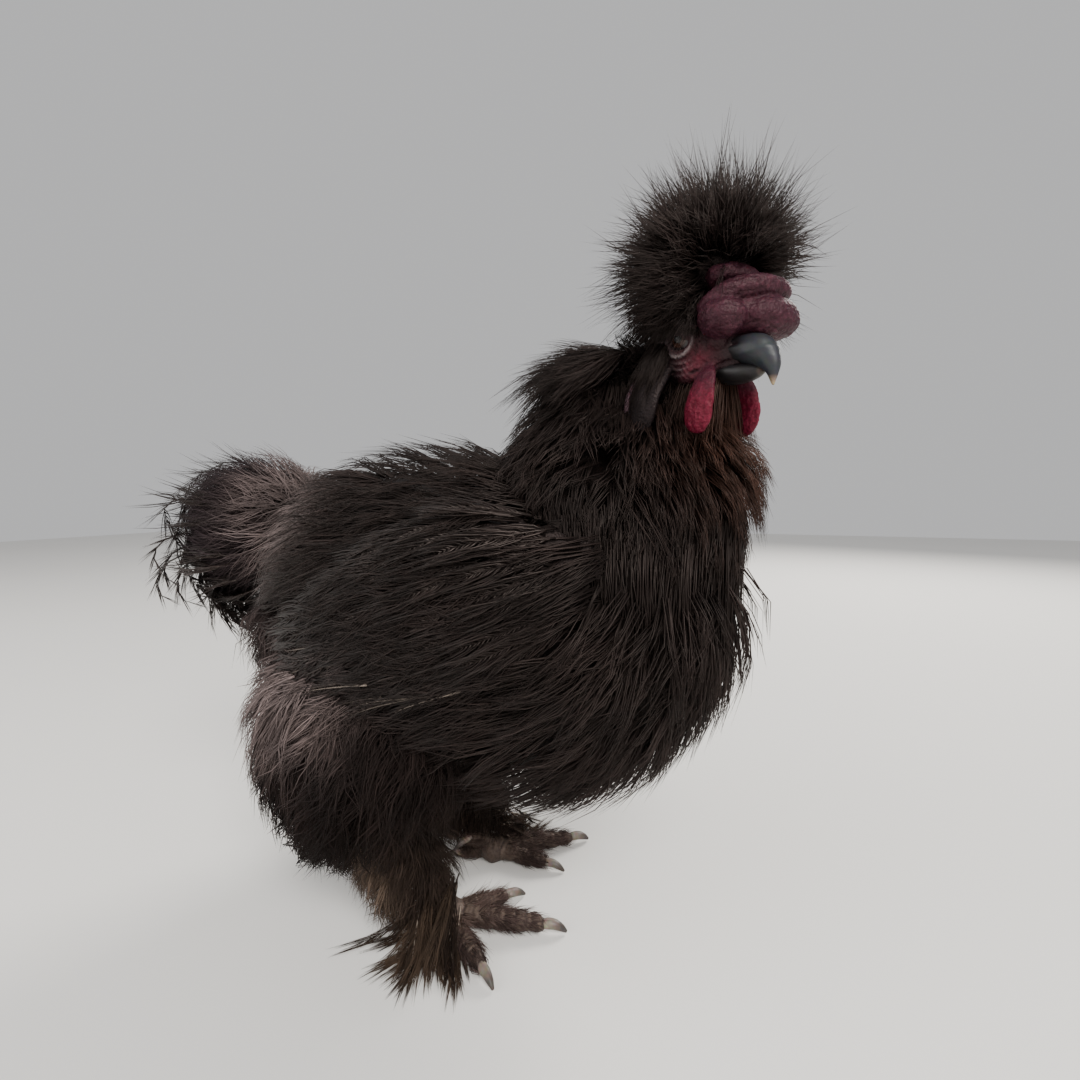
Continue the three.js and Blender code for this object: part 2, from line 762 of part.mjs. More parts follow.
// The long vanes that grow from the outer toe and shank and lie over the foot
const footCoat = (side) => (grow) => {
  const made = [];
  const outer = TOES.find((toe) => toe.name === "outer");
  const { heading, start, tip } = toeLine(side, outer);
  for (let k = 0; k < 4; k++) {
    const root = start.clone().lerp(tip, 0.15 + 0.2 * k).setZ(7);
    const lie = V(heading.x - 1.1 + 0.3 * k, heading.y + side * 0.5, 0).normalize();
    const look = { root, out: UP, lie, length: 34 - 2 * k, wide: 11, thick: 2.8, sink: 3 };
    made.push(freeLock({ ...look, lift: radians(16), droop: radians(30) }, grow));
  }
  return made;
};

// Nodes, in the order in which they take the room where two would meet: a body yields to the bodies
// above it, and a coat yields to every body and to the coats above it.
const SIDES = { right: -1, left: 1 };
const headSide = { right: 1, left: -1 };
const nodes = {};
function addNode(name, slot, body, coat = null, near = []) {
  nodes[name] = { slot, body, coat, near };
}
const bothSides = (add) => Object.keys(SIDES).forEach((word) => add(word, SIDES[word]));

bothSides((word) => addNode(`eye_${word}`, "eye", eye(headSide[word])));
addNode("bill_upper", "horn", bill, null, []);
addNode("bill_lower", "horn", (grow) => lowerBillForm.solid([0], grow), null, ["bill_upper"]);
addNode("head", "skin", skull, null, ["eye_right", "eye_left", "bill_upper", "bill_lower"]);
addNode("comb", "comb", comb, null, ["head", "bill_upper"]);
bothSides((word) =>
  addNode(`wattle_${word}`, "wattle", (grow) => wattleForm(headSide[word]).solid([0], grow), null, [
    "head",
    "bill_lower",
    "bill_upper",
  ]),
);
bothSides((word) =>
  addNode(`lobe_${word}`, "lobe", (grow) => lobeForm(headSide[word]).solid([0], grow), null, ["head"]),
);
addNode("torso", "plumage", (grow) => torsoForm.solid([COAT], grow), torsoCoat, [
  "neck",
  "wing_right",
  "wing_left",
  "thigh_right",
  "thigh_left",
  "tail",
]);
addNode("crest", "plumage", crestCore, crestCoat, ["head", "comb", "bill_upper", "eye_right", "eye_left"]);
addNode("neck", "plumage", (grow) => neckForm.solid(NECK_COAT, grow), hackle, [
  "torso",
  "head",
  "crest",
  "comb",
  "bill_upper",
  "bill_lower",
  "eye_right",
  "eye_left",
  "wattle_right",
  "wattle_left",
  "lobe_right",
  "lobe_left",
  "wing_right",
  "wing_left",
]);
bothSides((word, side) =>
  addNode(`wing_${word}`, "flight", (grow) => wings[word].solid([2], grow), wingCoat(word, side), [
    "torso",
    "neck",
    `thigh_${word}`,
  ]),
);
bothSides((word, side) =>
  addNode(
    `thigh_${word}`,
    "fluff",
    (grow) => thighs[word].solid(THIGH_COAT, grow),
    thighCoat(word, side),
    ["torso", `wing_${word}`, "thigh_right", "thigh_left", "tail"],
  ),
);
addNode("tail", "flight", (grow) => tailForm.solid([COAT], grow), tailCoat, ["torso"]);
bothSides((word, side) => addNode(`foot_${word}`, "shank", foot(side), footCoat(side)));
bothSides((word, side) =>
  addNode(`shank_${word}`, "shank", (grow) => shankForm(side).solid([0], grow), shankCoat(side), [
    `thigh_${word}`,
    `foot_${word}`,
    "torso",
  ]),
);
bothSides((word, side) =>
  TOES.forEach((toe) =>
    addNode(`claw_${toe.name}_${word}`, "claw", claw(side, toe), null, [`foot_${word}`, `shank_${word}`]),
  ),
);

const LOOKS = {
  plumage: { color: 0x16110f, roughness: 0.75 },
  flight: { color: 0x0f0c0b, roughness: 0.5 },
  fluff: { color: 0x2a211d, roughness: 0.9 },
  skin: { color: 0x2a1a1d, roughness: 0.6 },
  comb: { color: 0x4a1c2c, roughness: 0.55 },
  wattle: { color: 0x7c1430, roughness: 0.5 },
  lobe: { color: 0x3a2228, roughness: 0.6 },
  horn: { color: 0x2c3036, roughness: 0.35 },
  eye: { color: 0x0a0706, roughness: 0.1 },
  shank: { color: 0x4a3c34, roughness: 0.7 },
  claw: { color: 0x2b2420, roughness: 0.4 },
};

const names = Object.keys(nodes);
const SEEDS = Object.fromEntries(names.map((name, k) => [name, 103 + 37 * k]));
function coatOf(name, grow) {
  seed = SEEDS[name];
  return union(nodes[name].coat(grow));
}

// The largest closed body of a solid, as it stands with its corners in single precision
const largest = (solid) =>
  new wasm.Manifold(solid.getMesh())
    .decompose()
    .reduce((best, piece) => (piece.volume() > best.volume() ? piece : best));

// Every coat's grown copy, which later coats are cut by, and the room under the floor
const COAT_ORDER = [
  "crest",
  "wing_right",
  "wing_left",
  "neck",
  "tail",
  "torso",
  "thigh_right",
  "thigh_left",
  "foot_right",
  "foot_left",
];
const coated = names.filter((name) => nodes[name].coat);
const coatRank = (name) => (COAT_ORDER.includes(name) ? COAT_ORDER.indexOf(name) : COAT_ORDER.length);
const grownBody = Object.fromEntries(names.map((name) => [name, nodes[name].body(GAP)]));
const grownCoat = Object.fromEntries(coated.map((name) => [name, coatOf(name, GAP)]));

// The plain room round a coat, which later coats are cut by first, so that few fine cuts are left
const ROOM = -3;
const coatRoom = {
  neck: neckForm.solid([ROOM]),
  torso: torsoForm.solid([ROOM]),
  wing_right: wings.right.solid([ROOM]),
  wing_left: wings.left.solid([ROOM]),
  tail: tailForm.solid([ROOM]),
};
const underFloor = box(V(-400, -200, -60), V(300, 200, 0));
const lowRoom = box(V(-400, -200, -60), V(300, 200, FLOOR_CLEAR));

const without = (solid, other) => (solid.intersect(other).isEmpty() ? solid : solid.subtract(other));

// The neighbours whose room a node must leave free
function rivals(name) {
  const listed = names.filter((other) => nodes[other].near.includes(name));
  return [...new Set([...nodes[name].near, ...listed])].filter((other) => other !== name);
}

function finished(name) {
  const rank = names.indexOf(name);
  const others = rivals(name);
  let body = nodes[name].body(0).subtract(underFloor);
  for (const other of others) {
    if (names.indexOf(other) < rank) body = body.subtract(grownBody[other]);
  }
  if (!nodes[name].coat) return largest(body);
  let coat = coatOf(name, 0).subtract(lowRoom);
  for (const other of others) {
    coat = without(coat, grownBody[other]);
    if (!nodes[other].coat || coatRank(other) > coatRank(name)) continue;
    if (coatRoom[other]) coat = coat.subtract(coatRoom[other]);
    coat = without(coat, grownCoat[other]);
  }
  return largest(body.add(coat));
}

// The bird, with its origin under the middle of its box
const bird = new THREE.Group();
for (const name of names) {
  const mesh = finished(name).getMesh();
  const geometry = new THREE.BufferGeometry();
  geometry.setAttribute("position", new THREE.BufferAttribute(new Float32Array(mesh.vertProperties), 3));
  geometry.setIndex(new THREE.BufferAttribute(new Uint32Array(mesh.triVerts), 1));
  const made = new THREE.Mesh(geometry, new THREE.MeshStandardMaterial(LOOKS[nodes[name].slot]));
  made.name = name;
  bird.add(made);
}
const bounds = new THREE.Box3().setFromObject(bird, true);
const middle = bounds.getCenter(V(0, 0, 0));
bird.position.set(-middle.x, -middle.y, -bounds.min.z);
export default bird;
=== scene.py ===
# %% [markdown]
# # A silkie cock
# The bird stands on both feet with its head turned to its right. Its plumage is hair-like, because the
# barbs of a silkie's feathers don't hook into one another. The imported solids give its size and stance. This
# script dresses them: skin, eyes, bill and claws first, then the plumage, lock by lock.

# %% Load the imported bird
import math

import bmesh
import bpy
import numpy as np
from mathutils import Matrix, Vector, noise
from mathutils.bvhtree import BVHTree


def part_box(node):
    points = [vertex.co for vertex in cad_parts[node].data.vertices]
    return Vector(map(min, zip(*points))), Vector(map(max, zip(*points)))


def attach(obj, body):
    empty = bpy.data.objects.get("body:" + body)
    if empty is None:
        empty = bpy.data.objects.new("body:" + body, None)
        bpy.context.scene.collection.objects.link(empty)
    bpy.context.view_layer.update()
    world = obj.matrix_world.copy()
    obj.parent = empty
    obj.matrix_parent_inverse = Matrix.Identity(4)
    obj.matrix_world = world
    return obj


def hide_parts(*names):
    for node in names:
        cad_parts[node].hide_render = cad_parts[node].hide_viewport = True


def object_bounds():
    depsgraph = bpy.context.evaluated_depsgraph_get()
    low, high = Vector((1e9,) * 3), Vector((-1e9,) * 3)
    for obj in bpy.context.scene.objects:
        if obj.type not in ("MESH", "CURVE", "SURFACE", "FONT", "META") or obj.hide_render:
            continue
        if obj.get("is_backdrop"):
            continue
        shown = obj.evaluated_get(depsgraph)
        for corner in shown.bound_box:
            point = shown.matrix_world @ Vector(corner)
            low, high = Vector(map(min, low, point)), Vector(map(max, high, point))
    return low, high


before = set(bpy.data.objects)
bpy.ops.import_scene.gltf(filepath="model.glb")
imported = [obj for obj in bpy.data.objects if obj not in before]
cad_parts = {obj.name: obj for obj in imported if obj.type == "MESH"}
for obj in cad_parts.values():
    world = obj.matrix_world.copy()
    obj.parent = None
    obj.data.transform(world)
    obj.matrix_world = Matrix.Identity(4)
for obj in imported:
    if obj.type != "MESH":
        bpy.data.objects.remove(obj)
CAD_BOX = [list(corner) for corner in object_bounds()]
print("the packed bird is", [round(b - a, 3) for a, b in zip(*CAD_BOX)], "m")

# %% [markdown]
# ## Measures
# Everything below is laid out in millimetres in the bird's own layout: the origin lies on the floor midway
# between the feet, the breast points to +X and its own left is +Y. The right eye is a known place in both
# layouts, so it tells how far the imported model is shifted.

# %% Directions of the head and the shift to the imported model
COAT = 15.0
HEAD_PLACE = np.array([112.3, -7.1, 268.6])
HEAD_TURN = math.radians(-40)
HEAD_TIP = math.radians(5)
EYE_RADIUS = 5.8
EYE_AT = (2.0, 11.0, 3.4)
EYE_LOOKS_AHEAD = 0.25
LID_LEAN = 0.25
STANCE = 27.0
AHEAD = np.array([math.cos(HEAD_TURN) * math.cos(HEAD_TIP), math.sin(HEAD_TURN) * math.cos(HEAD_TIP),
                  -math.sin(HEAD_TIP)])
RIGHT = np.array([math.sin(HEAD_TURN), -math.cos(HEAD_TURN), 0.0])
CROWN = np.cross(RIGHT, AHEAD)


def in_head(ahead, right, crown):
    return HEAD_PLACE + ahead * AHEAD + right * RIGHT + crown * CROWN


def head_measures(points):
    away = points - HEAD_PLACE
    return away @ AHEAD, away @ RIGHT, away @ CROWN


low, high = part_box("eye_right")
SHIFT = np.array((low + high) / 2) * 1000 - in_head(*EYE_AT)
SHIFT[2] = 0.0
print("the layout is shifted by", SHIFT.round(2), "mm in the packed model")


def to_model(points):
    return (np.asarray(points) + SHIFT) / 1000


# %% [markdown]
# ## Camera, floor and light
# The photo was taken from close by, low and to the bird's right, with a wide lens. The camera has no tilt
# or blur. A pale floor and large soft lamps show the dark plumage, which needs more light than a pale coat.

# %% Camera
CAMERA_AT = (131.0, -254.7, 210.0)
CAMERA_YAW = math.radians(20)
CAMERA_DIP = math.radians(4.6)
LENS_LENGTH = 18.67
camera_data = bpy.data.cameras.new("camera")
camera_data.sensor_width = 36
camera_data.lens = LENS_LENGTH
camera_data.clip_start = 0.01
camera = bpy.data.objects.new("camera", camera_data)
camera.location = to_model(CAMERA_AT)
camera.rotation_euler = (math.pi / 2 - CAMERA_DIP, 0, CAMERA_YAW)
bpy.context.scene.collection.objects.link(camera)
bpy.context.scene.camera = camera
print("the camera stands", CAMERA_AT[2], "mm above the floor")

# %% [markdown]
# ### Materials and meshes
# Every finish below is a few nodes joined to one Principled shader. Nodes could be placed by hand in the
# shader editor. Short helpers do it here, so that each material reads as a list of what it is made of.

# %% Materials are built from a few joined nodes
def new_material(name):
    made = bpy.data.materials.new(name)
    made.use_nodes = True
    tree = made.node_tree
    return made, tree, tree.nodes["Principled BSDF"]


def add_node(tree, kind, **settings):
    made = tree.nodes.new(kind)
    for key, value in settings.items():
        if key in made.inputs:
            made.inputs[key].default_value = value
        else:
            setattr(made, key, value)
    return made


def colour_ramp(tree, value, places, colours):
    """A colour read off a value: one colour at each of two places between 0 and 1."""
    ramp = add_node(tree, "ShaderNodeValToRGB")
    for element, place, colour in zip(ramp.color_ramp.elements, places, colours):
        element.position = place
        element.color = colour
    tree.links.new(value, ramp.inputs["Fac"])
    return ramp.outputs["Color"]


def new_mesh(name, points, faces, material=None):
    mesh = bpy.data.meshes.new(name)
    mesh.from_pydata([tuple(p) for p in to_model(points)], [], [tuple(f) for f in faces])
    mesh.update()
    made = bpy.data.objects.new(name, mesh)
    bpy.context.scene.collection.objects.link(made)
    if material:
        mesh.materials.append(material)
    return made


# %% [markdown]
# ### Floor
# The floor is one large pale sheet with a faint grain. It takes the bird's shadow and throws soft light up
# onto the belly.

# %% Floor
def floor_material():
    made, tree, surface = new_material("studio_floor")
    speckle = add_node(tree, "ShaderNodeTexNoise", Scale=6.0, Detail=3.0)
    colour = colour_ramp(tree, speckle.outputs["Fac"], (0, 1), ((0.66, 0.65, 0.63, 1), (0.72, 0.71, 0.69, 1)))
    tree.links.new(colour, surface.inputs["Base Color"])
    surface.inputs["Roughness"].default_value = 0.8
    return made


FLOOR_HALF = 3000.0
floor = new_mesh("studio_floor", [(-FLOOR_HALF, -FLOOR_HALF, 0), (FLOOR_HALF, -FLOOR_HALF, 0),
                                  (FLOOR_HALF, FLOOR_HALF, 0), (-FLOOR_HALF, FLOOR_HALF, 0)],
                 [(0, 1, 2, 3)], floor_material())
floor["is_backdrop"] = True
print("the floor is", 2 * FLOOR_HALF / 1000, "m wide")

# %% [markdown]
# ### Lamps
# Three large area lamps light the bird: a warm key from the front, a fill from the other side, and one
# behind that rims the silk. Small hard lamps would make the fine strands sparkle.

# %% Lamps
def lamp(name, place, aim, size, power, colour):
    data = bpy.data.lights.new(name, "AREA")
    data.size = size
    data.energy = power
    data.color = colour
    made = bpy.data.objects.new(name, data)
    made.location = place
    made.rotation_euler = (Vector(aim) - Vector(place)).to_track_quat("-Z", "Y").to_euler()
    bpy.context.scene.collection.objects.link(made)
    print(f"{name}: {power} W, {size} m wide")


BODY_CENTRE = (0.0, 0.0, 0.18)
lamp("key_lamp", (0.9, -1.1, 1.3), BODY_CENTRE, 0.9, 48, (1.0, 0.97, 0.93))
lamp("fill_lamp", (-1.3, -1.0, 0.9), BODY_CENTRE, 1.4, 20, (1.0, 0.98, 0.96))
lamp("rim_lamp", (0.6, 1.5, 1.2), BODY_CENTRE, 0.8, 40, (1.0, 0.96, 0.9))
world = bpy.data.worlds.new("studio")
world.use_nodes = True
world.node_tree.nodes["Background"].inputs["Color"].default_value = (0.95, 0.95, 0.96, 1)
world.node_tree.nodes["Background"].inputs["Strength"].default_value = 0.6
bpy.context.scene.world = world


# %% [markdown]
# ## Forms
# The bird is laid out as rounded forms, each swept along a bent line with a half-width and a half-depth
# that change on the way. A form is kept as a grid of points and outward directions, so that skin, locks and
# markings can all be read off it.

# %% Reading a value off a short list
def along(values, t):
    values = np.asarray(values, float)
    if len(values) == 1:
        return np.full(np.shape(t), values[0])
    place = np.clip(t, 0, 1) * (len(values) - 1)
    start = np.minimum(np.floor(place).astype(int), len(values) - 2)
    part = place - start
    a, b, c, d = (values[np.clip(start + k, 0, len(values) - 1)] for k in (-1, 0, 1, 2))
    return b + 0.5 * part * (c - a + part * (2 * a - 5 * b + 4 * c - d + part * (3 * (b - c) + d - a)))


# %% [markdown]
# ### A smooth line
# A form's middle line is given by three to seven points. A curve object could join them, but its points
# can't be read as an array in one step. This function runs a smooth line through all of them and allows for
# how far apart they lie, so that it makes no loops.

# %% A smooth line through a few points
def smooth_line(points, t):
    p = np.asarray(points, float)
    p = np.vstack([2 * p[0] - p[1], p, 2 * p[-1] - p[-2]])
    place = np.clip(t, 0, 1) * (len(p) - 3)
    start = np.minimum(np.floor(place).astype(int), len(p) - 4)
    s = (place - start)[:, None]
    p0, p1, p2, p3 = (p[start + k] for k in range(4))
    d0, d1, d2 = (np.linalg.norm(b - a, axis=1)[:, None] ** 0.5
                  for a, b in ((p0, p1), (p1, p2), (p2, p3)))
    m1 = ((p1 - p0) / d0 - (p2 - p0) / (d0 + d1) + (p2 - p1) / d1) * d1
    m2 = ((p2 - p1) / d1 - (p3 - p1) / (d1 + d2) + (p3 - p2) / d2) * d1
    return ((2 * s**3 - 3 * s**2 + 1) * p1 + (s**3 - 2 * s**2 + s) * m1
            + (3 * s**2 - 2 * s**3) * p2 + (s**3 - s**2) * m2)


# %% [markdown]
# ### A swept form
# A form keeps its surface as a grid: in steps along its length and in turns round it. It can say where the
# surface is at any place, which way is out, and whether a point lies inside, and it can give a closed shell
# at some depth. A curve with a bevel would look alike, but couldn't answer these questions.

# %% A swept form, kept as a grid
def unit(vectors):
    return vectors / np.maximum(np.linalg.norm(vectors, axis=-1, keepdims=True), 1e-9)


def laid_on(headings, outs):
    """Headings turned into the plane that `outs` stand on."""
    return unit(headings - (headings * outs).sum(1)[:, None] * outs)


def tube_faces(rings, sides):
    """Faces of a tube with its rings' points in order, closed by a face at each end."""
    faces = [(r * sides + k, r * sides + (k + 1) % sides, (r + 1) * sides + (k + 1) % sides,
              (r + 1) * sides + k) for r in range(rings - 1) for k in range(sides)]
    return faces + [tuple(range(sides - 1, -1, -1)), tuple(range((rings - 1) * sides, rings * sides))]


class Form:
    """A rounded form along `spine`; its ends are the fuller, the larger `blunt` is."""
    STEPS, TURNS = 120, 96

    def __init__(self, spine, wide, deep, across=(0, 1, 0), blunt=2.4):
        self.t = np.linspace(0, 1, self.STEPS + 1)
        self.centre = smooth_line(spine, self.t)
        forward = unit(np.gradient(self.centre, axis=0))
        across = np.asarray(across, float)
        self.side = unit(across - (forward @ across)[:, None] * forward)
        self.rise = np.cross(forward, self.side)
        end = np.maximum(1 - np.abs(2 * self.t - 1) ** blunt, 0) ** (1 / blunt)
        self.half_side = along(wide, self.t) * end
        self.half_rise = along(deep, self.t) * end
        turns = np.linspace(0, 2 * np.pi, self.TURNS + 1)
        self.points = (self.centre[:, None]
                       + (self.half_side[:, None] * np.cos(turns))[..., None] * self.side[:, None]
                       + (self.half_rise[:, None] * np.sin(turns))[..., None] * self.rise[:, None])
        self.onward = np.gradient(self.points, 1 / self.STEPS, axis=0)
        self.around = np.gradient(self.points, 2 * np.pi / self.TURNS, axis=1)
        over_seam = (self.points[:, 1] - self.points[:, -2]) / (4 * np.pi / self.TURNS)
        self.around[:, 0] = self.around[:, -1] = over_seam
        self.out = unit(np.cross(self.around, self.onward))

    def read(self, grid, t, turn):
        """Values off a grid of this form, `t` of the way along it and at an angle round it."""
        row = np.clip(t, 0, 1) * self.STEPS
        column = (turn / (2 * np.pi) % 1) * self.TURNS
        i = np.minimum(row.astype(int), self.STEPS - 1)
        j = np.minimum(column.astype(int), self.TURNS - 1)
        u, v = (row - i)[:, None], (column - j)[:, None]
        return ((1 - u) * (1 - v) * grid[i, j] + u * (1 - v) * grid[i + 1, j]
                + (1 - u) * v * grid[i, j + 1] + u * v * grid[i + 1, j + 1])

    def covers(self, points, slack=1.0):
        """Whether points lie within the form, made `slack` times larger."""
        picks = np.arange(4, self.STEPS - 3, 4)
        gaps = np.linalg.norm(points[:, None] - self.centre[picks], axis=2)
        at = picks[gaps.argmin(axis=1)]
        away = points - self.centre[at]
        side = (away * self.side[at]).sum(1) / self.half_side[at]
        rise = (away * self.rise[at]).sum(1) / self.half_rise[at]
        return np.hypot(side, rise) < slack

    def shell(self, depth, rings=40, sides=32, ends=0.004):
        """Points and faces of the skin that lies `depth` under the form."""
        first = math.acos(1 - 2 * ends)
        t = 0.5 - 0.5 * np.cos(np.linspace(first, math.pi - first, rings))
        turns = np.linspace(0, 2 * np.pi, sides, endpoint=False)
        tt, aa = (grid.ravel() for grid in np.meshgrid(t, turns, indexing="ij"))
        depths = along(depth, tt)[:, None]
        points = self.read(self.points, tt, aa) - unit(self.read(self.out, tt, aa)) * depths
        return points, tube_faces(rings, sides)


# %% [markdown]
# ### The bird as a few forms
# The body is laid out as torso, neck, tail, vent, wings and thighs, with shanks and cuffs below them. Their
# sizes hold the plumage, so the skin lies a coat's depth further in. One row of numbers says all about a
# form, so the stance can be changed without touching a mesh.

# %% The forms of the body
torso = Form([(-124, 0, 191), (-84, 0, 174), (-36, 0, 156), (14, 0, 147), (66, 0, 153), (106, 0, 166),
              (141, 0, 184)],
             [38, 58, 68, 74, 72, 61, 43], [46, 78, 86, 88, 84, 63, 42])
neck = Form([(68, 0, 168), (78, 0, 204), (86, 1, 240), (96, 2, 271)],
            [63, 56, 34, 22], [64, 62, 56, 36], blunt=3.6)
tail = Form([(-80, 0, 184), (-110, 0, 190), (-140, 0, 192), (-174, 0, 184)],
            [38, 39, 38, 30], [38, 39, 40, 36])
wings, thighs, shanks, cuffs = {}, {}, {}, {}
SIDES = {"right": -1, "left": 1}
for word, side in SIDES.items():
    wings[word] = Form([(90, side * 50, 190), (52, side * 62, 178), (8, side * 66, 162),
                        (-38, side * 61, 147), (-62, side * 54, 140)],
                       [8, 11, 11, 9, 6], [22, 33, 34, 25, 14])
    thighs[word] = Form([(-30, side * 32, 150), (-37, side * 39, 106), (-34, side * 39, 64),
                         (-21, side * 34, 26)],
                        [32, 38, 34, 22], [62, 67, 57, 38])
    shanks[word] = Form([(-26, side * 33, 66), (-16, side * (STANCE + 3), 34), (-4, side * STANCE, 8)],
                        [11, 8, 7], [12, 10, 8])
    cuffs[word] = Form([(-30, side * 36, 66), (-20, side * 33, 36), (-9, side * 30, 4)],
                       [24, 21, 17], [30, 28, 22], blunt=3.2)
vent = Form([(-84, 0, 178), (-93, 0, 140), (-80, 0, 96)], [42, 47, 38], [32, 33, 30])
THIGH_COAT = COAT - 2
VENT_COAT = 14
NECK_COAT = [COAT, COAT, COAT - 3, 7]
torso_line = np.linalg.norm(np.diff(torso.centre, axis=0), axis=1).sum()
print("the torso's middle line is", round(torso_line), "mm long")

# %% [markdown]
# ### The head as a few forms
# Skull, bill, comb, wattles and lobes are small forms in the head's own directions, so that they all turn
# with the head. A silkie's comb is a rounded lump and not a blade, so it is one roll with four bulbs.

# %% The forms of the head
HEAD_SIDES = {"right": 1, "left": -1}
skull = Form([in_head(-25, 0, 0), in_head(-9, 0, 1), in_head(7, 0, 0), in_head(24, 0, -5)],
             [13, 15.5, 14, 9], [14, 17, 16, 9], across=RIGHT)
upper_bill = Form([in_head(9, -1, -1), in_head(20, -1, -0.8), in_head(29, -1, -2.2), in_head(34.6, -1, -7.5),
                   in_head(36.6, -1, -15.5)],
                  [8.5, 8, 6.4, 3.8, 1.4], [6.5, 5.8, 6, 4.2, 1.8], across=RIGHT)
lower_bill = Form([in_head(9, -1, -9.4), in_head(20, -1, -9.6), in_head(32, -1, -9.4)],
                  [8, 6.6, 4.0], [4.4, 4.2, 3.4], across=RIGHT)
comb_roll = Form([in_head(11, 14, 12), in_head(20, 10.5, 18), in_head(25.5, 2, 21), in_head(25, -13, 22),
                  in_head(15, -24, 20)],
                 [4, 4.2, 4.2, 4, 3.6], [4.4, 4.8, 4.8, 4.6, 4], across=CROWN, blunt=4)
wattles, lobes = {}, {}
for word, side in HEAD_SIDES.items():
    wattles[word] = Form([in_head(11, side * 5.5, -3), in_head(14.5, side * 12.5, -18),
                          in_head(14, side * 13.5, -33.5)],
                         [2.2, 2.4, 2.8], [4, 6.5, 8.4], across=RIGHT)
    lobes[word] = Form([in_head(-5, side * 10, -1), in_head(-9, side * 21.5, -17),
                        in_head(-8.5, side * 23.5, -35)],
                       [2.6, 3.6, 3.2], [6, 9.8, 10.4], across=RIGHT)
CREST_PLACE = (0, -4, 32)
CREST_RADIUS = 20.0
COMB_BULBS = [
    ((13, -1, 26.5), (9, 13, 5.6)),
    ((21, -7, 11.5), (10.5, 17, 8.6)),
    ((19.5, 10.5, 9.5), (9.5, 8.5, 7.5)),
    ((26, -8, 10.8), (9, 14, 8.2)),
]
print("the comb is a roll with", len(COMB_BULBS), "bulbs")


# %% [markdown]
# ## Colours of plumage and flesh
# A colour is worked out for every point of skin and plumage from its place on the bird, so that skin and
# coat carry the same markings. The plumage is brown-black, warmer on the throat, and taupe-grey fluff shows
# at the root of the tail and under the wings' tips.

# %% Plumage colour by place
BROWN_BLACK = np.array([0.0090, 0.0064, 0.0060])
WARM_BROWN = np.array([0.034, 0.0160, 0.0110])
TAUPE = np.array([0.160, 0.131, 0.128])
PURPLE_GREY = np.array([0.030, 0.023, 0.027])
TAN = np.array([0.130, 0.098, 0.074])
UMBER = np.array([0.022, 0.0160, 0.0125])
TOE_DOWN = np.array([0.110, 0.078, 0.054])


def near(points, place, radius):
    gaps = (points - np.asarray(place, float)) / np.asarray(radius, float)
    return np.exp(-(gaps**2).sum(-1))


def blend_colours(base, other, share):
    return base * (1 - share[:, None]) + other * share[:, None]


def repeated(vector, count):
    return np.tile(np.asarray(vector, float), (count, 1))


def plumage_tone(points):
    tone = repeated(BROWN_BLACK, len(points))
    throat = near(points, (126, -12, 226), (26, 34, 30))
    tone = blend_colours(tone, WARM_BROWN, np.clip(throat * 1.1, 0, 0.8))
    tail_end = near(points, (-158, 0, 190), (40, 60, 50))
    tone = blend_colours(tone, PURPLE_GREY, np.clip(tail_end * 1.2, 0, 0.9))
    tail_root = near(points, (-101, 0, 196), (18, 60, 34))
    tone = blend_colours(tone, TAUPE, np.clip(tail_root * 1.3, 0, 0.95))
    for side in SIDES.values():
        under_wing = near(points, (-66, side * 50, 112), (34, 34, 24))
        tone = blend_colours(tone, TAUPE, np.clip(under_wing * 1.3, 0, 0.9))
        leg = near(points, (-8, side * 30, 40), (26, 26, 34))
        tone = blend_colours(tone, UMBER, np.clip(leg, 0, 0.7))
        behind_leg = near(points, (-27, side * 42, 26), (11, 14, 17))
        tone = blend_colours(tone, TAN, np.clip(behind_leg * 1.1, 0, 0.8))
    return tone


print("the tail's root is coloured", plumage_tone(np.array([[-101.0, 0, 196]]))[0].round(3))

# %% [markdown]
# ## Skin
# One skin runs over body, head, comb, wattles, earlobes and feet. Each region starts as plain forms, which
# are melted together on a grid of small cells, so that no seam shows where they meet. The cells are fine on
# the bare head and feet, and coarse under the plumage, where the skin hardly shows.

# %% Melting forms into one surface
def ellipsoid(place, size, axes=(AHEAD, RIGHT, CROWN), detail=24):
    sheet = bmesh.new()
    bmesh.ops.create_uvsphere(sheet, u_segments=detail, v_segments=detail // 2, radius=1)
    axes = np.array(axes)
    points = np.array([v.co for v in sheet.verts]) * np.asarray(size, float) @ axes + place
    faces = [tuple(v.index for v in f.verts) for f in sheet.faces]
    sheet.free()
    return points, faces


def torus(place, axes, radius, thick, steps=40, sides=10):
    """A ring in the plane of the first two axes, whose two ends meet."""
    x, y, z = axes
    points = []
    for turn in np.linspace(0, 2 * math.pi, steps):
        outward = math.cos(turn) * x + math.sin(turn) * y
        for k in range(sides):
            a = 2 * math.pi * k / sides
            points.append(place + radius * outward + thick * (math.cos(a) * outward + math.sin(a) * z))
    return np.array(points), tube_faces(steps, sides)


def together(shells):
    """The points and faces of several shells as one."""
    points, faces, count = [], [], 0
    for shell_points, shell_faces in shells:
        points.append(shell_points)
        faces += [tuple(i + count for i in f) for f in shell_faces]
        count += len(shell_points)
    return np.vstack(points), faces


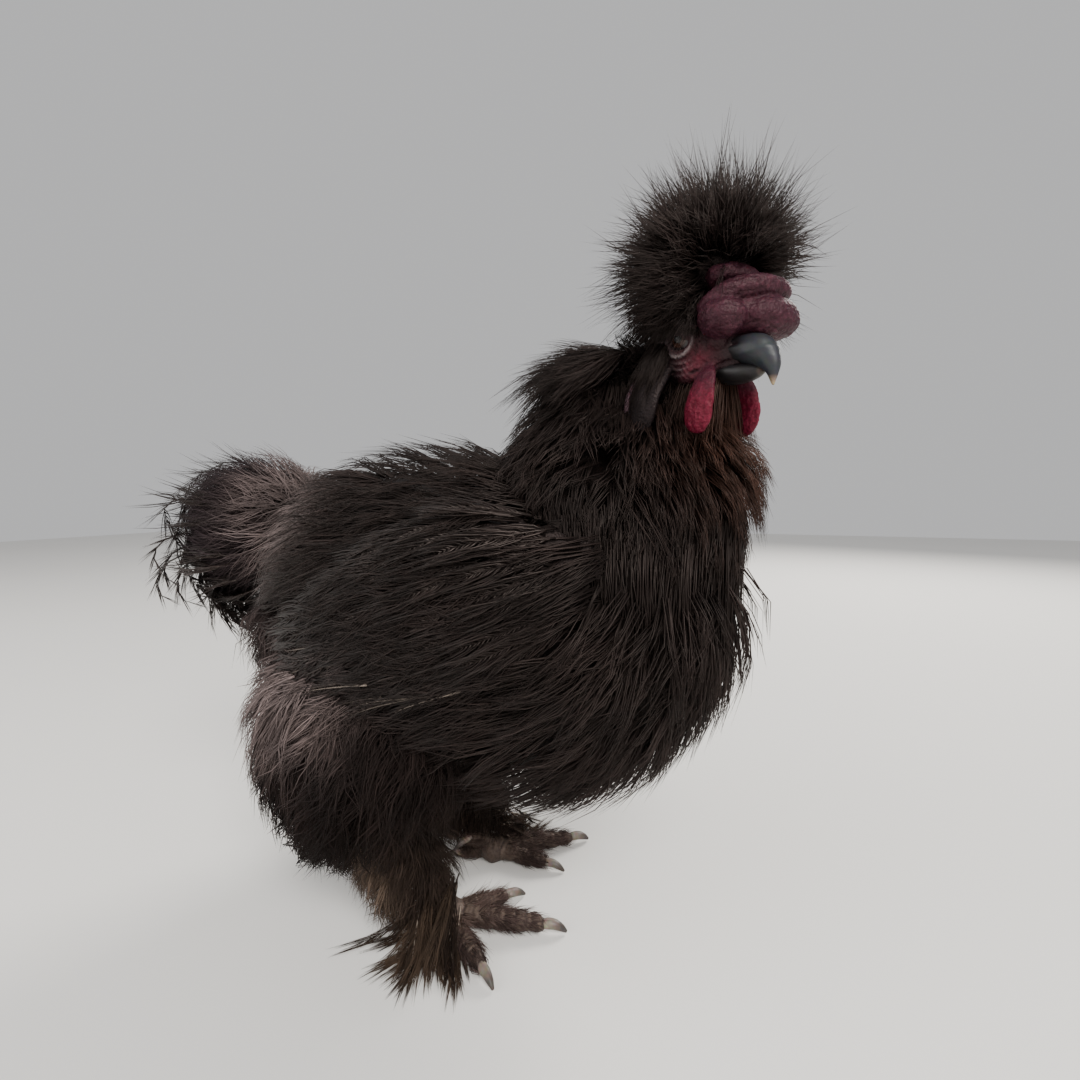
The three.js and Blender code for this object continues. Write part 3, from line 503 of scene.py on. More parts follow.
def melted(name, shells, cell, smoothing=2):
    """Shells melted into one surface on cells of `cell` mm: points in mm, outward directions and faces."""
    rough = new_mesh(name, *together(shells))
    cells = rough.modifiers.new("cells", "REMESH")
    cells.mode = "VOXEL"
    cells.voxel_size = cell / 1000
    even = rough.modifiers.new("even", "SMOOTH")
    even.factor = 0.5
    even.iterations = smoothing
    done = rough.evaluated_get(bpy.context.evaluated_depsgraph_get()).to_mesh()
    made = np.empty(len(done.vertices) * 3)
    done.vertices.foreach_get("co", made)
    made = made.reshape(-1, 3) * 1000 - SHIFT
    normals = np.empty(len(done.vertices) * 3)
    done.vertices.foreach_get("normal", normals)
    polygons = [tuple(p.vertices) for p in done.polygons]
    bpy.data.objects.remove(rough)
    print(f"{name}: {len(made)} points on cells of {cell} mm")
    return made, normals.reshape(-1, 3), polygons


def gaps_to(shells, points):
    """How far each point is from the nearest of the shells."""
    shell_points, faces = together(shells)
    tree = BVHTree.FromPolygons([tuple(p) for p in shell_points], faces)
    return np.array([tree.find_nearest(tuple(p))[3] for p in points])


def grain(points, scale, seed=0.0):
    """Smooth noise from about -1 to 1, with waves of `scale` mm."""
    return np.array([noise.noise(Vector(p / scale) + Vector((seed, seed * 0.7, 0))) for p in points])


# %% [markdown]
# ### Head
# The head is bare round the eye. A fold of brow shades the eye from above, the lower lid is a thin pale
# rim, and fine folds run round its back. The mouth's line ends under the eye, where the skin turns red.
# Folds and the comb's warts are pushed into the melted surface by a sum of waves, not painted on.

# %% Flesh of the head
def eye_stand(side):
    """Where an eye lies, and the way it looks."""
    a, r, c = EYE_AT
    return in_head(a, side * r, c), unit(RIGHT * side + AHEAD * EYE_LOOKS_AHEAD)


head_shells, wattle_shells, lobe_shells = [skull.shell([0])], [], []
for word, side in HEAD_SIDES.items():
    a, r, c = EYE_AT
    eye_place, outward = eye_stand(side)
    top = unit(CROWN - (CROWN @ outward) * outward)
    ring_axes = (np.cross(top, outward), top, outward)
    head_shells.append(torus(eye_place + outward * EYE_RADIUS * 0.55, ring_axes, EYE_RADIUS, 1.5))
    forward = unit(AHEAD - (AHEAD @ outward) * outward)
    lid_way = unit(top + forward * LID_LEAN)
    lid_place = eye_place + lid_way * 2.6 + outward * 0.2
    head_shells.append(ellipsoid(lid_place, (EYE_RADIUS + 0.45,) * 3, detail=40))
    head_shells.append(ellipsoid(in_head(a - 0.5, side * (r + 3.2), c + 6.0), (9.4, 3.6, 3.0),
                                 (unit(AHEAD - 0.28 * CROWN), RIGHT, unit(CROWN + 0.28 * AHEAD))))
    head_shells.append(ellipsoid(in_head(a + 11, side * (r - 3.2), c - 1.5), (7.5, 3.6, 4.6)))
    head_shells.append(ellipsoid(in_head(a + 1, side * (r - 1.5), c - 11.5), (8.5, 3.6, 5.2)))
    head_shells.append(ellipsoid(in_head(a - 12, side * (r - 2.0), c - 2), (6, 3.4, 8.5)))
    wattle_shells.append(wattles[word].shell([0]))
    lobe_shells.append(lobes[word].shell([0]))
comb_shells = [comb_roll.shell([0])] + [ellipsoid(in_head(*at), size) for at, size in COMB_BULBS]
HEAD_CELL = 0.55
head_points, head_out, head_faces = melted(
    "head_flesh", head_shells + comb_shells + wattle_shells + lobe_shells, HEAD_CELL)

# %% [markdown]
# ### Parts of the head
# After melting, no point knows which part it came from. Its distance to the first shells tells: face, comb,
# wattle and lobe each get a share that fades over about a millimetre, so that the colours run into each
# other.

# %% Which part of the head a point belongs to
PART_EDGE = 0.9
part_gaps = np.stack([gaps_to(shells, head_points)
                      for shells in (head_shells, comb_shells, wattle_shells, lobe_shells)])
part_share = np.exp(-part_gaps / PART_EDGE)
part_share /= part_share.sum(axis=0)
face_share, comb_share, wattle_share, lobe_share = part_share
print("shares of face, comb, wattles and lobes:", part_share.mean(axis=1).round(2))

# %% [markdown]
# ### Folds, warts and the mouth
# Fine relief makes flesh look real from close by. It could be sculpted by hand, or be a bump in the
# material. Here the points themselves move out by sums of waves and noise, so that the relief shows in the
# outline too and can colour the skin later.

# %% Folds, warts and the mouth's line
FOLD_RING, FOLD_BAND, FOLD_EVERY = 10.5, 3.6, 2.3
WRINKLE_EVERY = 2.1
GAPE = (8.0, -9.5)
GAPE_RISE = 0.30
MOUTH_HALF = 0.75
ahead_at, right_at, crown_at = head_measures(head_points)
eye_gap = np.hypot(ahead_at - EYE_AT[0], crown_at - EYE_AT[2])
eye_turn = np.arctan2(crown_at - EYE_AT[2], ahead_at - EYE_AT[0])
on_side = np.clip((np.abs(right_at) - 6) / 4, 0, 1)
behind = np.clip(-np.cos(eye_turn - 0.55) * 1.2 + 0.25, 0, 1)
fold_zone = on_side * behind * np.exp(-((eye_gap - FOLD_RING) / FOLD_BAND) ** 2) * face_share
folds = np.cos(2 * np.pi * eye_gap / FOLD_EVERY + 0.8 * grain(head_points, 4.0)) * fold_zone
mouth_height = GAPE[1] + (ahead_at - GAPE[0]) * GAPE_RISE
mouth = np.exp(-((crown_at - mouth_height) / MOUTH_HALF) ** 2) * np.clip((ahead_at - GAPE[0]) / 2 + 1, 0, 1)
mouth *= np.clip((24 - ahead_at) / 4, 0, 1) * face_share
leather = 0.20 * grain(head_points, 1.2) + 0.24 * grain(head_points, 3.2, 5.0)
wrinkle_way = ahead_at * 0.75 + crown_at * 0.66
wrinkles = np.cos(2 * np.pi * wrinkle_way / WRINKLE_EVERY + 2.2 * grain(head_points, 5.0, 13.0))
wrinkles *= np.exp(-(((ahead_at - 6) / 9) ** 2 + ((crown_at + 7) / 6) ** 2)) * on_side
warts = (0.24 * grain(head_points, 3.4, 3.0) + 0.22 * grain(head_points, 1.3, 8.0)
         + 0.16 * grain(head_points, 0.8, 9.0))
creases = -0.32 * np.exp(-(grain(head_points * np.array([0.6, 0.6, 1.6]), 8.0, 2.0) / 0.06) ** 2)
droops = 0.32 * grain(head_points * np.array([1, 1, 0.6]), 1.9, 4.0) + 0.26 * grain(head_points, 0.8, 6.0)
push = (face_share * (leather + 0.26 * wrinkles) + 0.42 * folds - 1.1 * mouth + comb_share * (warts + creases)
        + wattle_share * droops + lobe_share * 0.35 * leather)
head_points = head_points + head_out * push[:, None]
print("the relief reaches from", push.min().round(2), "to", push.max().round(2), "mm")


# %% [markdown]
# ### Colours of the head
# The face is almost black with a red patch at the mouth, the comb mulberry with pink warts, the wattles
# crimson and coral, the lobes black with a pale rim. The waves that shaped the skin also choose its colour,
# as painted light: the mouth's line and the comb's creases and hollows get painted shade, and the crests of
# the folds, the tops of the comb's warts and the wattles' bulges get a painted highlight, pale, pink or
# coral. Colours kept at the mesh's points need no picture.

# %% Colours of the head
FACE = np.array([0.0125, 0.0072, 0.0086])
RED_SKIN = np.array([0.085, 0.014, 0.024])
FOLD_HIGHLIGHT = np.array([0.155, 0.115, 0.120])
MULBERRY = np.array([0.030, 0.0080, 0.0145])
HIGHLIT_PINK = np.array([0.095, 0.030, 0.045])
PIT_SHADE = np.array([0.012, 0.004, 0.006])
CRIMSON = np.array([0.080, 0.0028, 0.013])
HIGHLIT_CORAL = np.array([0.150, 0.013, 0.033])
LOBE_BLACK = np.array([0.0060, 0.0046, 0.0052])
LOBE_RIM = np.array([0.200, 0.120, 0.145])
PALE_LID = np.array([0.20, 0.165, 0.165])


def head_colours():
    count = len(head_points)
    mottle = grain(head_points, 2.0, 11.0)
    red = near(np.stack([ahead_at, crown_at], 1), (10, -7), (7.5, 6.5)) * on_side
    red = np.clip(red * (1.0 + 0.7 * mottle), 0, 1)
    face = blend_colours(repeated(FACE, count), RED_SKIN, red)
    # painted highlight: the crests of the folds are pale
    face = blend_colours(face, FOLD_HIGHLIGHT, np.clip(folds * 0.55, 0, 0.6))
    lid = np.exp(-((eye_gap - 6.6) / 0.55) ** 2) * np.clip(0.35 - np.sin(eye_turn), 0, 1) * on_side
    face = blend_colours(face, PALE_LID, np.clip(lid, 0, 0.8) * face_share)
    # painted shade along the mouth's line
    face = blend_colours(face, PIT_SHADE, np.clip(mouth * 1.1, 0, 1))
    shaded = on_side * np.clip((crown_at - EYE_AT[2] - 0.5) / 2, 0, 0.9)
    face = blend_colours(face, BROWN_BLACK * 0.7, shaded)
    # pink on the tops of the warts is a painted highlight, mixed with random mottle
    comb = blend_colours(repeated(MULBERRY, count), HIGHLIT_PINK,
                         np.clip(warts * 1.3 + 0.4 * mottle, 0, 1))
    # painted shade in the comb's creases and hollows
    comb = blend_colours(comb, PIT_SHADE, np.clip(-creases * 0.9 - warts * 0.35, 0, 1))
    # coral on the wattles' bulges is a painted highlight, over a quarter share of coral everywhere
    wattle = blend_colours(repeated(CRIMSON, count), HIGHLIT_CORAL, np.clip(droops * 1.6 + 0.25, 0, 1))
    wattle = blend_colours(wattle, MULBERRY, np.clip((crown_at + 20) / 9 + 0.3 * mottle, 0, 0.85))
    rim = np.clip((-12.2 - ahead_at) / 2.4, 0, 1) * (crown_at < -12) + np.clip((-36.5 - crown_at) / 3, 0, 1)
    lobe = blend_colours(repeated(LOBE_BLACK, count), LOBE_RIM, np.clip(rim, 0, 0.9))
    mixed = (face * face_share[:, None] + comb * comb_share[:, None] + wattle * wattle_share[:, None]
             + lobe * lobe_share[:, None])
    return mixed * (1 + 0.25 * grain(head_points, 0.9, 21.0))[:, None]


head_tone = head_colours()
print("mean colour of the head:", head_tone.mean(axis=0).round(3))

# %% [markdown]
# ### Feet
# A silkie has five toes, and the fifth stands up behind. The toes carry rows of small horny scutes on top
# and soft pads below. The scutes are rings of the toe's own surface, raised a little.

# %% Toes, pads and shanks
TOES = [
    ("inner", 34, 33, 4.2, 0),
    ("middle", 0, 49, 4.6, 0),
    ("outer", -50, 36, 4.2, 0),
    ("hind", 196, 19, 3.6, 0),
    ("fifth", 158, 17, 3.2, 15),
]
FOOT_YAW = {"right": 14, "left": 36}
SCUTE_LENGTH = 2.6
PAD_LENGTH = 9
ABOVE_FLOOR = 0.05
FOOT_BROWN = np.array([0.055, 0.041, 0.033])
SCUTE_TAN = np.array([0.135, 0.102, 0.080])
FURROW_BROWN = np.array([0.040, 0.032, 0.030])


def toe_line(word, yaw, length, radius, raised):
    side = SIDES[word]
    turn = math.radians(FOOT_YAW[word] - side * yaw)
    heading = np.array([math.cos(turn), math.sin(turn), 0.0])
    heel = np.array([0.0, side * STANCE, 0.0])
    rest = radius - 0.5
    line = [heel + heading * 1, heel + heading * length * 0.5, heel + heading * length]
    for point, height in zip(line, (rest + 2 + raised * 0.35, rest + 1 + raised * 0.7, rest + raised)):
        point[2] = height
    return heading, line


def foot_skin():
    shells, toe_centres, toe_shares = [], [], []
    for word, side in SIDES.items():
        for _, yaw, length, radius, raised in TOES:
            _, line = toe_line(word, yaw, length, radius, raised)
            slim = [radius, radius * 1.02, radius * 0.88]
            toe = Form(line, slim, slim, blunt=3.4)
            shells.append(toe.shell([0.15]))
            toe_centres.append(toe.centre)
            toe_shares.append(toe.t * length)
        heel = np.array([0.0, side * STANCE, 0.0])
        pad = Form([heel + (-8, 0, 7), heel + (0, 0, 6), heel + (9, 0, 5.4)], [7.5, 9, 8], [7, 7, 6])
        shells.append(pad.shell([0.2]))
        shells.append(shanks[word].shell([1.0]))
    points, out, faces = melted("foot_flesh", shells, 0.75)
    centres, runs = np.vstack(toe_centres), np.concatenate(toe_shares)
    gaps = np.linalg.norm(points[:, None] - centres[None, ::4], axis=2)
    nearest = gaps.argmin(axis=1)
    run = runs[::4][nearest]
    top = np.clip(out[:, 2], 0, 1)
    scute = (np.abs(np.sin(np.pi * run / SCUTE_LENGTH)) ** 0.6 - 0.6) * (gaps.min(axis=1) < 6.5)
    pads = np.clip(-out[:, 2], 0, 1) * np.cos(2 * np.pi * run / PAD_LENGTH)
    points = points + out * (0.55 * scute * top + 0.35 * pads + 0.10 * grain(points, 1.4))[:, None]
    points[:, 2] = np.maximum(points[:, 2], ABOVE_FLOOR)
    tone = repeated(FOOT_BROWN, len(points))
    tone = blend_colours(tone, SCUTE_TAN, np.clip(scute * top * 1.2 + 0.2, 0, 0.8))
    tone = blend_colours(tone, FURROW_BROWN, np.clip(0.5 - scute, 0, 1) * 0.6)
    return points, faces, tone * (1 + 0.3 * grain(points, 2.2))[:, None]


foot_points, foot_faces, foot_tone = foot_skin()

# %% [markdown]
# ### Skin under the plumage
# Where the locks of a real bird part, its skin shows. So the body has skin too, a little under the roots of
# the coat, and coarser than on the head. Round each ear lobe it lies further back, so that the lobe hangs
# free.

# %% Skin under the plumage
UNDER = 2.0
LOBE_HOLLOW = 18
SKIN_SHADE = 0.55


def lobe_hollow(points):
    """How deep the neck's coat and skin lie back round each lobe, in mm, so that the lobe hangs free."""
    depth = [near(points, in_head(-15, side * 31, -24), (17, 16, 21)) for side in HEAD_SIDES.values()]
    return LOBE_HOLLOW * np.maximum(*depth)


body_shells = [torso.shell([COAT + UNDER]), neck.shell([d + UNDER for d in NECK_COAT]),
               tail.shell([COAT + UNDER]), vent.shell([VENT_COAT + UNDER]),
               ellipsoid(in_head(*CREST_PLACE), (CREST_RADIUS - 4,) * 3)]
for word in SIDES:
    body_shells += [wings[word].shell([4.0]), thighs[word].shell([THIGH_COAT + UNDER])]
body_points, body_out, body_faces = melted("body_skin", body_shells, 3.2, 4)
body_points = body_points - body_out * lobe_hollow(body_points)[:, None]
body_tone = plumage_tone(body_points) * SKIN_SHADE


# %% [markdown]
# ### The look of skin
# The colours at the points are multiplied by fine noise, and noise with small cells makes the surface
# leathery. Light goes a little way into flesh, which softens it, and the slight gloss it has is warm. Eye,
# horn and plumage are built in the same way, so the helpers for it come first.

# %% Skin material
def set_colours(mesh, colours):
    layer = mesh.color_attributes.new("tone", "FLOAT_COLOR", "POINT")
    rgba = np.ones((len(colours), 4), np.float32)
    rgba[:, :3] = np.clip(colours, 0, 1)
    layer.data.foreach_set("color", rgba.ravel())


def toned_material(name, blend, share):
    """A material coloured by the tone at a mesh's points, and the socket where a texture blends in."""
    made, tree, surface = new_material(name)
    tone = add_node(tree, "ShaderNodeAttribute", attribute_name="tone")
    mix = add_node(tree, "ShaderNodeMix", data_type="RGBA", blend_type=blend)
    mix.inputs[0].default_value = share
    tree.links.new(tone.outputs["Color"], mix.inputs[6])
    tree.links.new(mix.outputs[2], surface.inputs["Base Color"])
    return made, tree, surface, mix.inputs[7]


def texture(tree, kind, **settings):
    """A texture laid out in the object's own metres."""
    made = add_node(tree, kind, **settings)
    place = add_node(tree, "ShaderNodeTexCoord")
    tree.links.new(place.outputs["Object"], made.inputs["Vector"])
    return made


def rough_between(tree, surface, value, low, high):
    """The surface's roughness follows a texture, from `low` to `high`."""
    gloss = add_node(tree, "ShaderNodeMapRange")
    gloss.inputs["To Min"].default_value = low
    gloss.inputs["To Max"].default_value = high
    tree.links.new(value, gloss.inputs["Value"])
    tree.links.new(gloss.outputs["Result"], surface.inputs["Roughness"])


def bumped(tree, surface, height, strength, distance):
    bump = add_node(tree, "ShaderNodeBump", Strength=strength, Distance=distance)
    tree.links.new(height, bump.inputs["Height"])
    tree.links.new(bump.outputs["Normal"], surface.inputs["Normal"])


def skin_material():
    made, tree, surface, blended = toned_material("bare_skin", "MULTIPLY", 0.55)
    fine = texture(tree, "ShaderNodeTexNoise", Scale=900.0, Detail=4.0, Roughness=0.6)
    broad = texture(tree, "ShaderNodeTexNoise", Scale=260.0, Detail=3.0)
    cells = texture(tree, "ShaderNodeTexVoronoi", Scale=1100.0)
    shades = ((0.45, 0.42, 0.43, 1), (1.25, 1.2, 1.2, 1))
    tree.links.new(colour_ramp(tree, fine.outputs["Fac"], (0.3, 0.72), shades), blended)
    rough_between(tree, surface, broad.outputs["Fac"], 0.42, 0.62)
    heights = add_node(tree, "ShaderNodeMath", operation="ADD")
    tree.links.new(cells.outputs["Distance"], heights.inputs[0])
    tree.links.new(fine.outputs["Fac"], heights.inputs[1])
    bumped(tree, surface, heights.outputs["Value"], 0.55, 0.0004)
    surface.inputs["Specular IOR Level"].default_value = 0.2
    surface.inputs["Specular Tint"].default_value = (1.0, 0.80, 0.77, 1.0)
    surface.inputs["Subsurface Weight"].default_value = 0.08
    surface.inputs["Subsurface Radius"].default_value = (0.004, 0.0015, 0.001)
    return made


# %% [markdown]
# ### One skin
# The three melted surfaces become one mesh, which takes the place of all the flesh solids of the packed
# bird.

# %% One skin over all of it
def joined_skin():
    surfaces = [(head_points, head_faces), (foot_points, foot_faces), (body_points, body_faces)]
    made = new_mesh("skin", *together(surfaces), skin_material())
    set_colours(made.data, np.vstack([head_tone, foot_tone, body_tone]))
    made.data.shade_smooth()
    return made


skin = joined_skin()
FLESH = ["head", "comb", "torso", "neck", "crest", "tail"]
for word in SIDES:
    FLESH += [f"{part}_{word}" for part in ("wattle", "lobe", "wing", "thigh", "shank", "foot")]
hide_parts(*FLESH)
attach(skin, "root")
print("the skin has", len(skin.data.polygons), "faces")

# %% [markdown]
# ## Eyes, bill and claws
# These are hard or glossy, so each is a piece of its own. The eye is a ball with a dark brown iris under a
# wet surface. The bill is horn: blue-black, worn pale at its hooked tip.

# %% Eyes
def eye_material():
    made, tree, surface, blended = toned_material("wet_eye", "MULTIPLY", 0.4)
    rays = texture(tree, "ShaderNodeTexNoise", Scale=1500.0, Detail=2.0)
    tree.links.new(rays.outputs["Color"], blended)
    surface.inputs["Roughness"].default_value = 0.12
    surface.inputs["Specular IOR Level"].default_value = 0.1
    surface.inputs["Coat Weight"].default_value = 0.5
    surface.inputs["Coat Roughness"].default_value = 0.02
    return made


EYE_DARK = np.array([0.012, 0.009, 0.010])
IRIS = np.array([0.034, 0.013, 0.008])
PUPIL = np.array([0.002, 0.002, 0.002])
CORNEA_RISE = 0.7
CORNEA_EDGE, IRIS_EDGE, PUPIL_EDGE = 0.80, 0.78, 0.925
wet_eye = eye_material()
for word, side in HEAD_SIDES.items():
    place, outward = eye_stand(side)
    points, faces = ellipsoid(place, (EYE_RADIUS - 0.1,) * 3, detail=48)
    facing = unit(points - place) @ outward
    cornea = np.clip((facing - CORNEA_EDGE) / 0.2, 0, 1)
    points = points + outward * (cornea**1.5 * CORNEA_RISE)[:, None]
    iris = IRIS * (0.7 + 0.6 * np.clip((facing - CORNEA_EDGE) * 8, 0, 1))[:, None]
    tone = blend_colours(repeated(EYE_DARK, len(points)), iris, np.clip((facing - IRIS_EDGE) * 25, 0, 1))
    tone = blend_colours(tone, PUPIL, np.clip((facing - PUPIL_EDGE) * 60, 0, 1))
    eye = new_mesh(f"eyeball_{word}", points, faces, wet_eye)
    set_colours(eye.data, tone)
    eye.data.shade_smooth()
    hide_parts(f"eye_{word}")
    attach(eye, "root")
    print(f"eyeball_{word}: {len(points)} points")


# %% [markdown]
# ### Bill
# Horn is dull and streaked along its growth. The bill's two halves are shells of their forms, with the
# nostrils pushed in and the cutting edge raised. The hooked tip is worn pale, which colour by place can say
# without a painted mask.

# %% Horn of bill and claws
def horn_material():
    made, tree, surface, blended = toned_material("horn", "OVERLAY", 0.6)
    streaks = texture(tree, "ShaderNodeTexNoise", Scale=420.0, Detail=5.0, Roughness=0.65)
    scratches = texture(tree, "ShaderNodeTexNoise", Scale=1600.0, Detail=3.0)
    tree.links.new(streaks.outputs["Color"], blended)
    rough_between(tree, surface, streaks.outputs["Fac"], 0.34, 0.6)
    bumped(tree, surface, scratches.outputs["Fac"], 0.3, 0.0002)
    surface.inputs["Specular IOR Level"].default_value = 0.35
    return made


horn = horn_material()
BILL_BLACK = np.array([0.0060, 0.0050, 0.0055])
BILL_GREY = np.array([0.016, 0.018, 0.022])
BILL_TIP = np.array([0.300, 0.220, 0.150])


def bill_piece(name, form, node):
    points, faces = form.shell([0.1], rings=72, sides=48)
    nearest = np.linalg.norm(points[:, None] - form.centre, axis=2).argmin(axis=1)
    out = unit(points - form.centre[nearest])
    a, r, c = head_measures(points)
    nostril = np.exp(-((a - 21.5) / 2.6) ** 2 - ((c - 0.6) / 0.9) ** 2) * (np.abs(r) > 3)
    edge = np.exp(-((c + 6.0 - 0.2 * (a - 14)) / 0.8) ** 2)
    points = points - out * (1.3 * nostril - 0.3 * edge + 0.12 * grain(points, 3.0))[:, None]
    upper = node == "bill_upper"
    grey = np.clip((a - 20) / 10 + 0.35 * grain(points, 4.0), 0, 1) * upper
    tone = blend_colours(repeated(BILL_BLACK, len(points)), BILL_GREY, grey)
    tip = np.clip((-c - 11.5) / 4, 0, 0.75) if upper else np.clip((a - 30) / 8, 0, 0.1)
    tone = blend_colours(tone, BILL_TIP, tip)
    # painted shade in the nostril's hollow
    tone = blend_colours(tone, PIT_SHADE, np.clip(nostril * 1.2, 0, 1))
    made = new_mesh(name, points, faces, horn)
    set_colours(made.data, tone)
    made.data.shade_smooth()
    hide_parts(node)
    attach(made, "root")
    print(f"{name}: {len(points)} points")


bill_piece("bill_top", upper_bill, "bill_upper")
bill_piece("bill_below", lower_bill, "bill_lower")


# %% [markdown]
# ### Claws
# A claw is a short tapered form that goes on from its toe, bends down to the floor, and is pale at its root
# and dark at its tip. One function makes all ten from the toes' measures.

# %% Claws
CLAW_ROOT = np.array([0.20, 0.165, 0.135])
CLAW_TIP = np.array([0.045, 0.034, 0.030])


def claw_piece(word, name, yaw, length, radius, raised):
    heading, line = toe_line(word, yaw, length, radius, raised)
    tip = line[-1]
    places = []
    for run, height in ((-2, tip[2] + 0.5), (3, tip[2] + 0.5), (6.5, tip[2] - 0.8),
                        (9.4, max(tip[2] - 2.8, 0.7 + raised * 0.8))):
        place = tip + heading * run
        place[2] = height
        places.append(place)
    form = Form(places, [radius * 0.56, radius * 0.54, radius * 0.40, radius * 0.18],
                [radius * 0.54, radius * 0.50, radius * 0.38, radius * 0.18], blunt=6)
    points, faces = form.shell([0.0], rings=32, sides=20)
    points[:, 2] = np.maximum(points[:, 2], ABOVE_FLOOR)
    run = (points - tip) @ heading
    tone = blend_colours(repeated(CLAW_ROOT, len(points)), CLAW_TIP, np.clip(run / 7, 0, 1))
    made = new_mesh(f"nail_{name}_{word}", points, faces, horn)
    set_colours(made.data, tone * (1 + 0.3 * grain(points, 1.5))[:, None])
    made.data.shade_smooth()
    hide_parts(f"claw_{name}_{word}")
    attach(made, "root")


for word in SIDES:
    for toe in TOES:
        claw_piece(word, *toe)
print("claws made:", len(SIDES) * len(TOES))


# %% [markdown]
# ## Plumage
# Each lock of plumage is a bunch of fine strands that share a way along the bird and draw together towards
# the tip. The way is found by walking over a form in small steps along the lie of the coat, so a lock
# follows the body's curve. A strand is a slim three-sided blade, closed at both ends. Strands are worked
# out for all locks at once, as arrays, which is quick enough for tens of thousands of them.

# %% Ways over a form
WALK_PARTS = 3


def ways(form, t, turn, flow, length, shares):
    """Places on a form at the given shares of each lock's length, with the outward directions there."""
    places, outs = [form.read(form.points, t, turn)], [unit(form.read(form.out, t, turn))]
    for before, after in zip(shares, shares[1:]):
        step = length * (after - before) / WALK_PARTS
        for _ in range(WALK_PARTS):
            out = unit(form.read(form.out, t, turn))
            here = form.read(form.points, t, turn)
            heading = laid_on(flow(here, out), out)
            onward, around = form.read(form.onward, t, turn), form.read(form.around, t, turn)
            oo, oa, aa = (onward**2).sum(1), (onward * around).sum(1), (around**2).sum(1)
            lo, la = (heading * onward).sum(1) * step, (heading * around).sum(1) * step
            area = np.maximum(oo * aa - oa * oa, 1e-6)
            t = np.clip(t + (lo * aa - la * oa) / area, 0.015, 0.985)
            turn = turn + np.clip((la * oo - lo * oa) / area, -0.6, 0.6)
        place = form.read(form.points, t, turn)
        # past the end of a form a lock goes on in the air
        walked = np.linalg.norm(place - places[-1], axis=1)
        short = walked < 0.6 * step * WALK_PARTS
        place[short] = places[-1][short] + heading[short] * (step * WALK_PARTS)[short, None]
        places.append(place)
        outs.append(unit(form.read(form.out, t, turn)))
    return np.stack(places, 1), np.stack(outs, 1)


# %% [markdown]
# ### Strands
# Hair curves could do this, but the part has to be plain mesh, so that it can be exported. The strands of a
# lock share its way. Each is set off sideways and up by some chance, is drawn in towards the tip by
# `pinch`, and sways in two slow waves. A few stray out of the lock, which keeps it from looking combed.

# %% Strands of a lock
STRAND_FLOOR = 1.2
STRAY_ACROSS, STRAY_UP = 4.0, 2.0


def strands(way, out, count, spread, height, width, rng, pinch=0.75, wave=1.0, fly=0.06):
    """Strand lines (lock, strand, station, xyz) that share a way, with their side directions and widths."""
    locks, stations, _ = way.shape
    share = np.linspace(0, 1, stations)
    heading = unit(np.gradient(way, axis=1))
    side = unit(np.cross(out, heading))
    lateral = rng.uniform(-0.5, 0.5, (locks, count)) * spread[:, None]
    lift = rng.uniform(-0.2, 1.0, (locks, count)) * height[:, None]
    reach = rng.uniform(0.72, 1.08, (locks, count))
    stray = (rng.random((locks, count)) < fly) * rng.uniform(-1.6, 1.6, (locks, count))
    draw_in = 1 - pinch * share**1.4
    phase = rng.uniform(0, 2 * np.pi, (locks, count, 2))
    beat = rng.uniform(0.5, 1.4, (locks, count, 2))
    bends = np.sin(phase[..., None] + 2 * np.pi * beat[..., None] * share) - np.sin(phase)[..., None]
    sway = wave * bends[:, :, 0] * share
    bob = 0.5 * wave * bends[:, :, 1] * share
    across = lateral[..., None] * draw_in + sway + stray[..., None] * STRAY_ACROSS * share**2
    up = (lift[..., None] * draw_in * (0.4 + 0.6 * share) + bob
          + np.abs(stray)[..., None] * STRAY_UP * share**2)
    lines = way[:, None] + across[..., None] * side[:, None] + up[..., None] * out[:, None]
    # a shorter strand stops short of the lock's tip
    root = lines[:, :, :1]
    lines = root + (lines - root) * reach[:, :, None, None]
    lines[..., 2] = np.maximum(lines[..., 2], STRAND_FLOOR)
    widths = width * rng.uniform(0.7, 1.25, (locks, count))[..., None] * (1 - 0.86 * share**1.6)
    shape = (locks * count, stations, 3)
    sides = np.broadcast_to(side[:, None], lines.shape).reshape(shape)
    outs = np.broadcast_to(out[:, None], lines.shape).reshape(shape)
    return lines.reshape(shape), sides, outs, widths.reshape(shape[:2])


# %% [markdown]
# ### Blades
# A strand needs some thickness, so that it catches light from every side. Three sides are the fewest that
# close: a flat base, slim walls and a pointed tip.

# %% Blades from strand lines
def blades(lines, sides, outs, widths, thick=0.55):
    """Points and faces of slim three-sided blades, each closed by a base and a pointed tip."""
    count, stations, _ = lines.shape
    rings = stations - 1
    half = widths[:, :rings, None] / 2
    body = lines[:, :rings]
    corners = np.stack([body - sides[:, :rings] * half, body + sides[:, :rings] * half,
                        body + outs[:, :rings] * half * 2 * thick], axis=2)
    points = np.concatenate([corners.reshape(count, rings * 3, 3), lines[:, -1:]], axis=1)
    quads = [(3 * r + k, 3 * r + (k + 1) % 3, 3 * (r + 1) + (k + 1) % 3, 3 * (r + 1) + k)
             for r in range(rings - 1) for k in range(3)]
    tip = 3 * rings
    triangles = [(2, 1, 0)] + [(3 * (rings - 1) + k, 3 * (rings - 1) + (k + 1) % 3, tip) for k in range(3)]
    start = np.arange(count)[:, None, None] * (tip + 1)
    all_quads = (np.array(quads)[None] + start).reshape(-1, 4)
    all_triangles = (np.array(triangles)[None] + start).reshape(-1, 3)
    return points.reshape(-1, 3), all_quads, all_triangles, tip + 1


# %% [markdown]
# ### A piece of plumage
# All blades of a piece become one mesh. It is filled from arrays, because adding them one by one would take
# minutes. Each blade gets a small patch of the UV map at its lock's place, and a colour with painted shade at
# its root, deep in the coat, that pales towards its tip, as painted light shining through.

# %% A piece of plumage as one mesh
PATCH = 0.003
ROOT_SHADE = 0.65


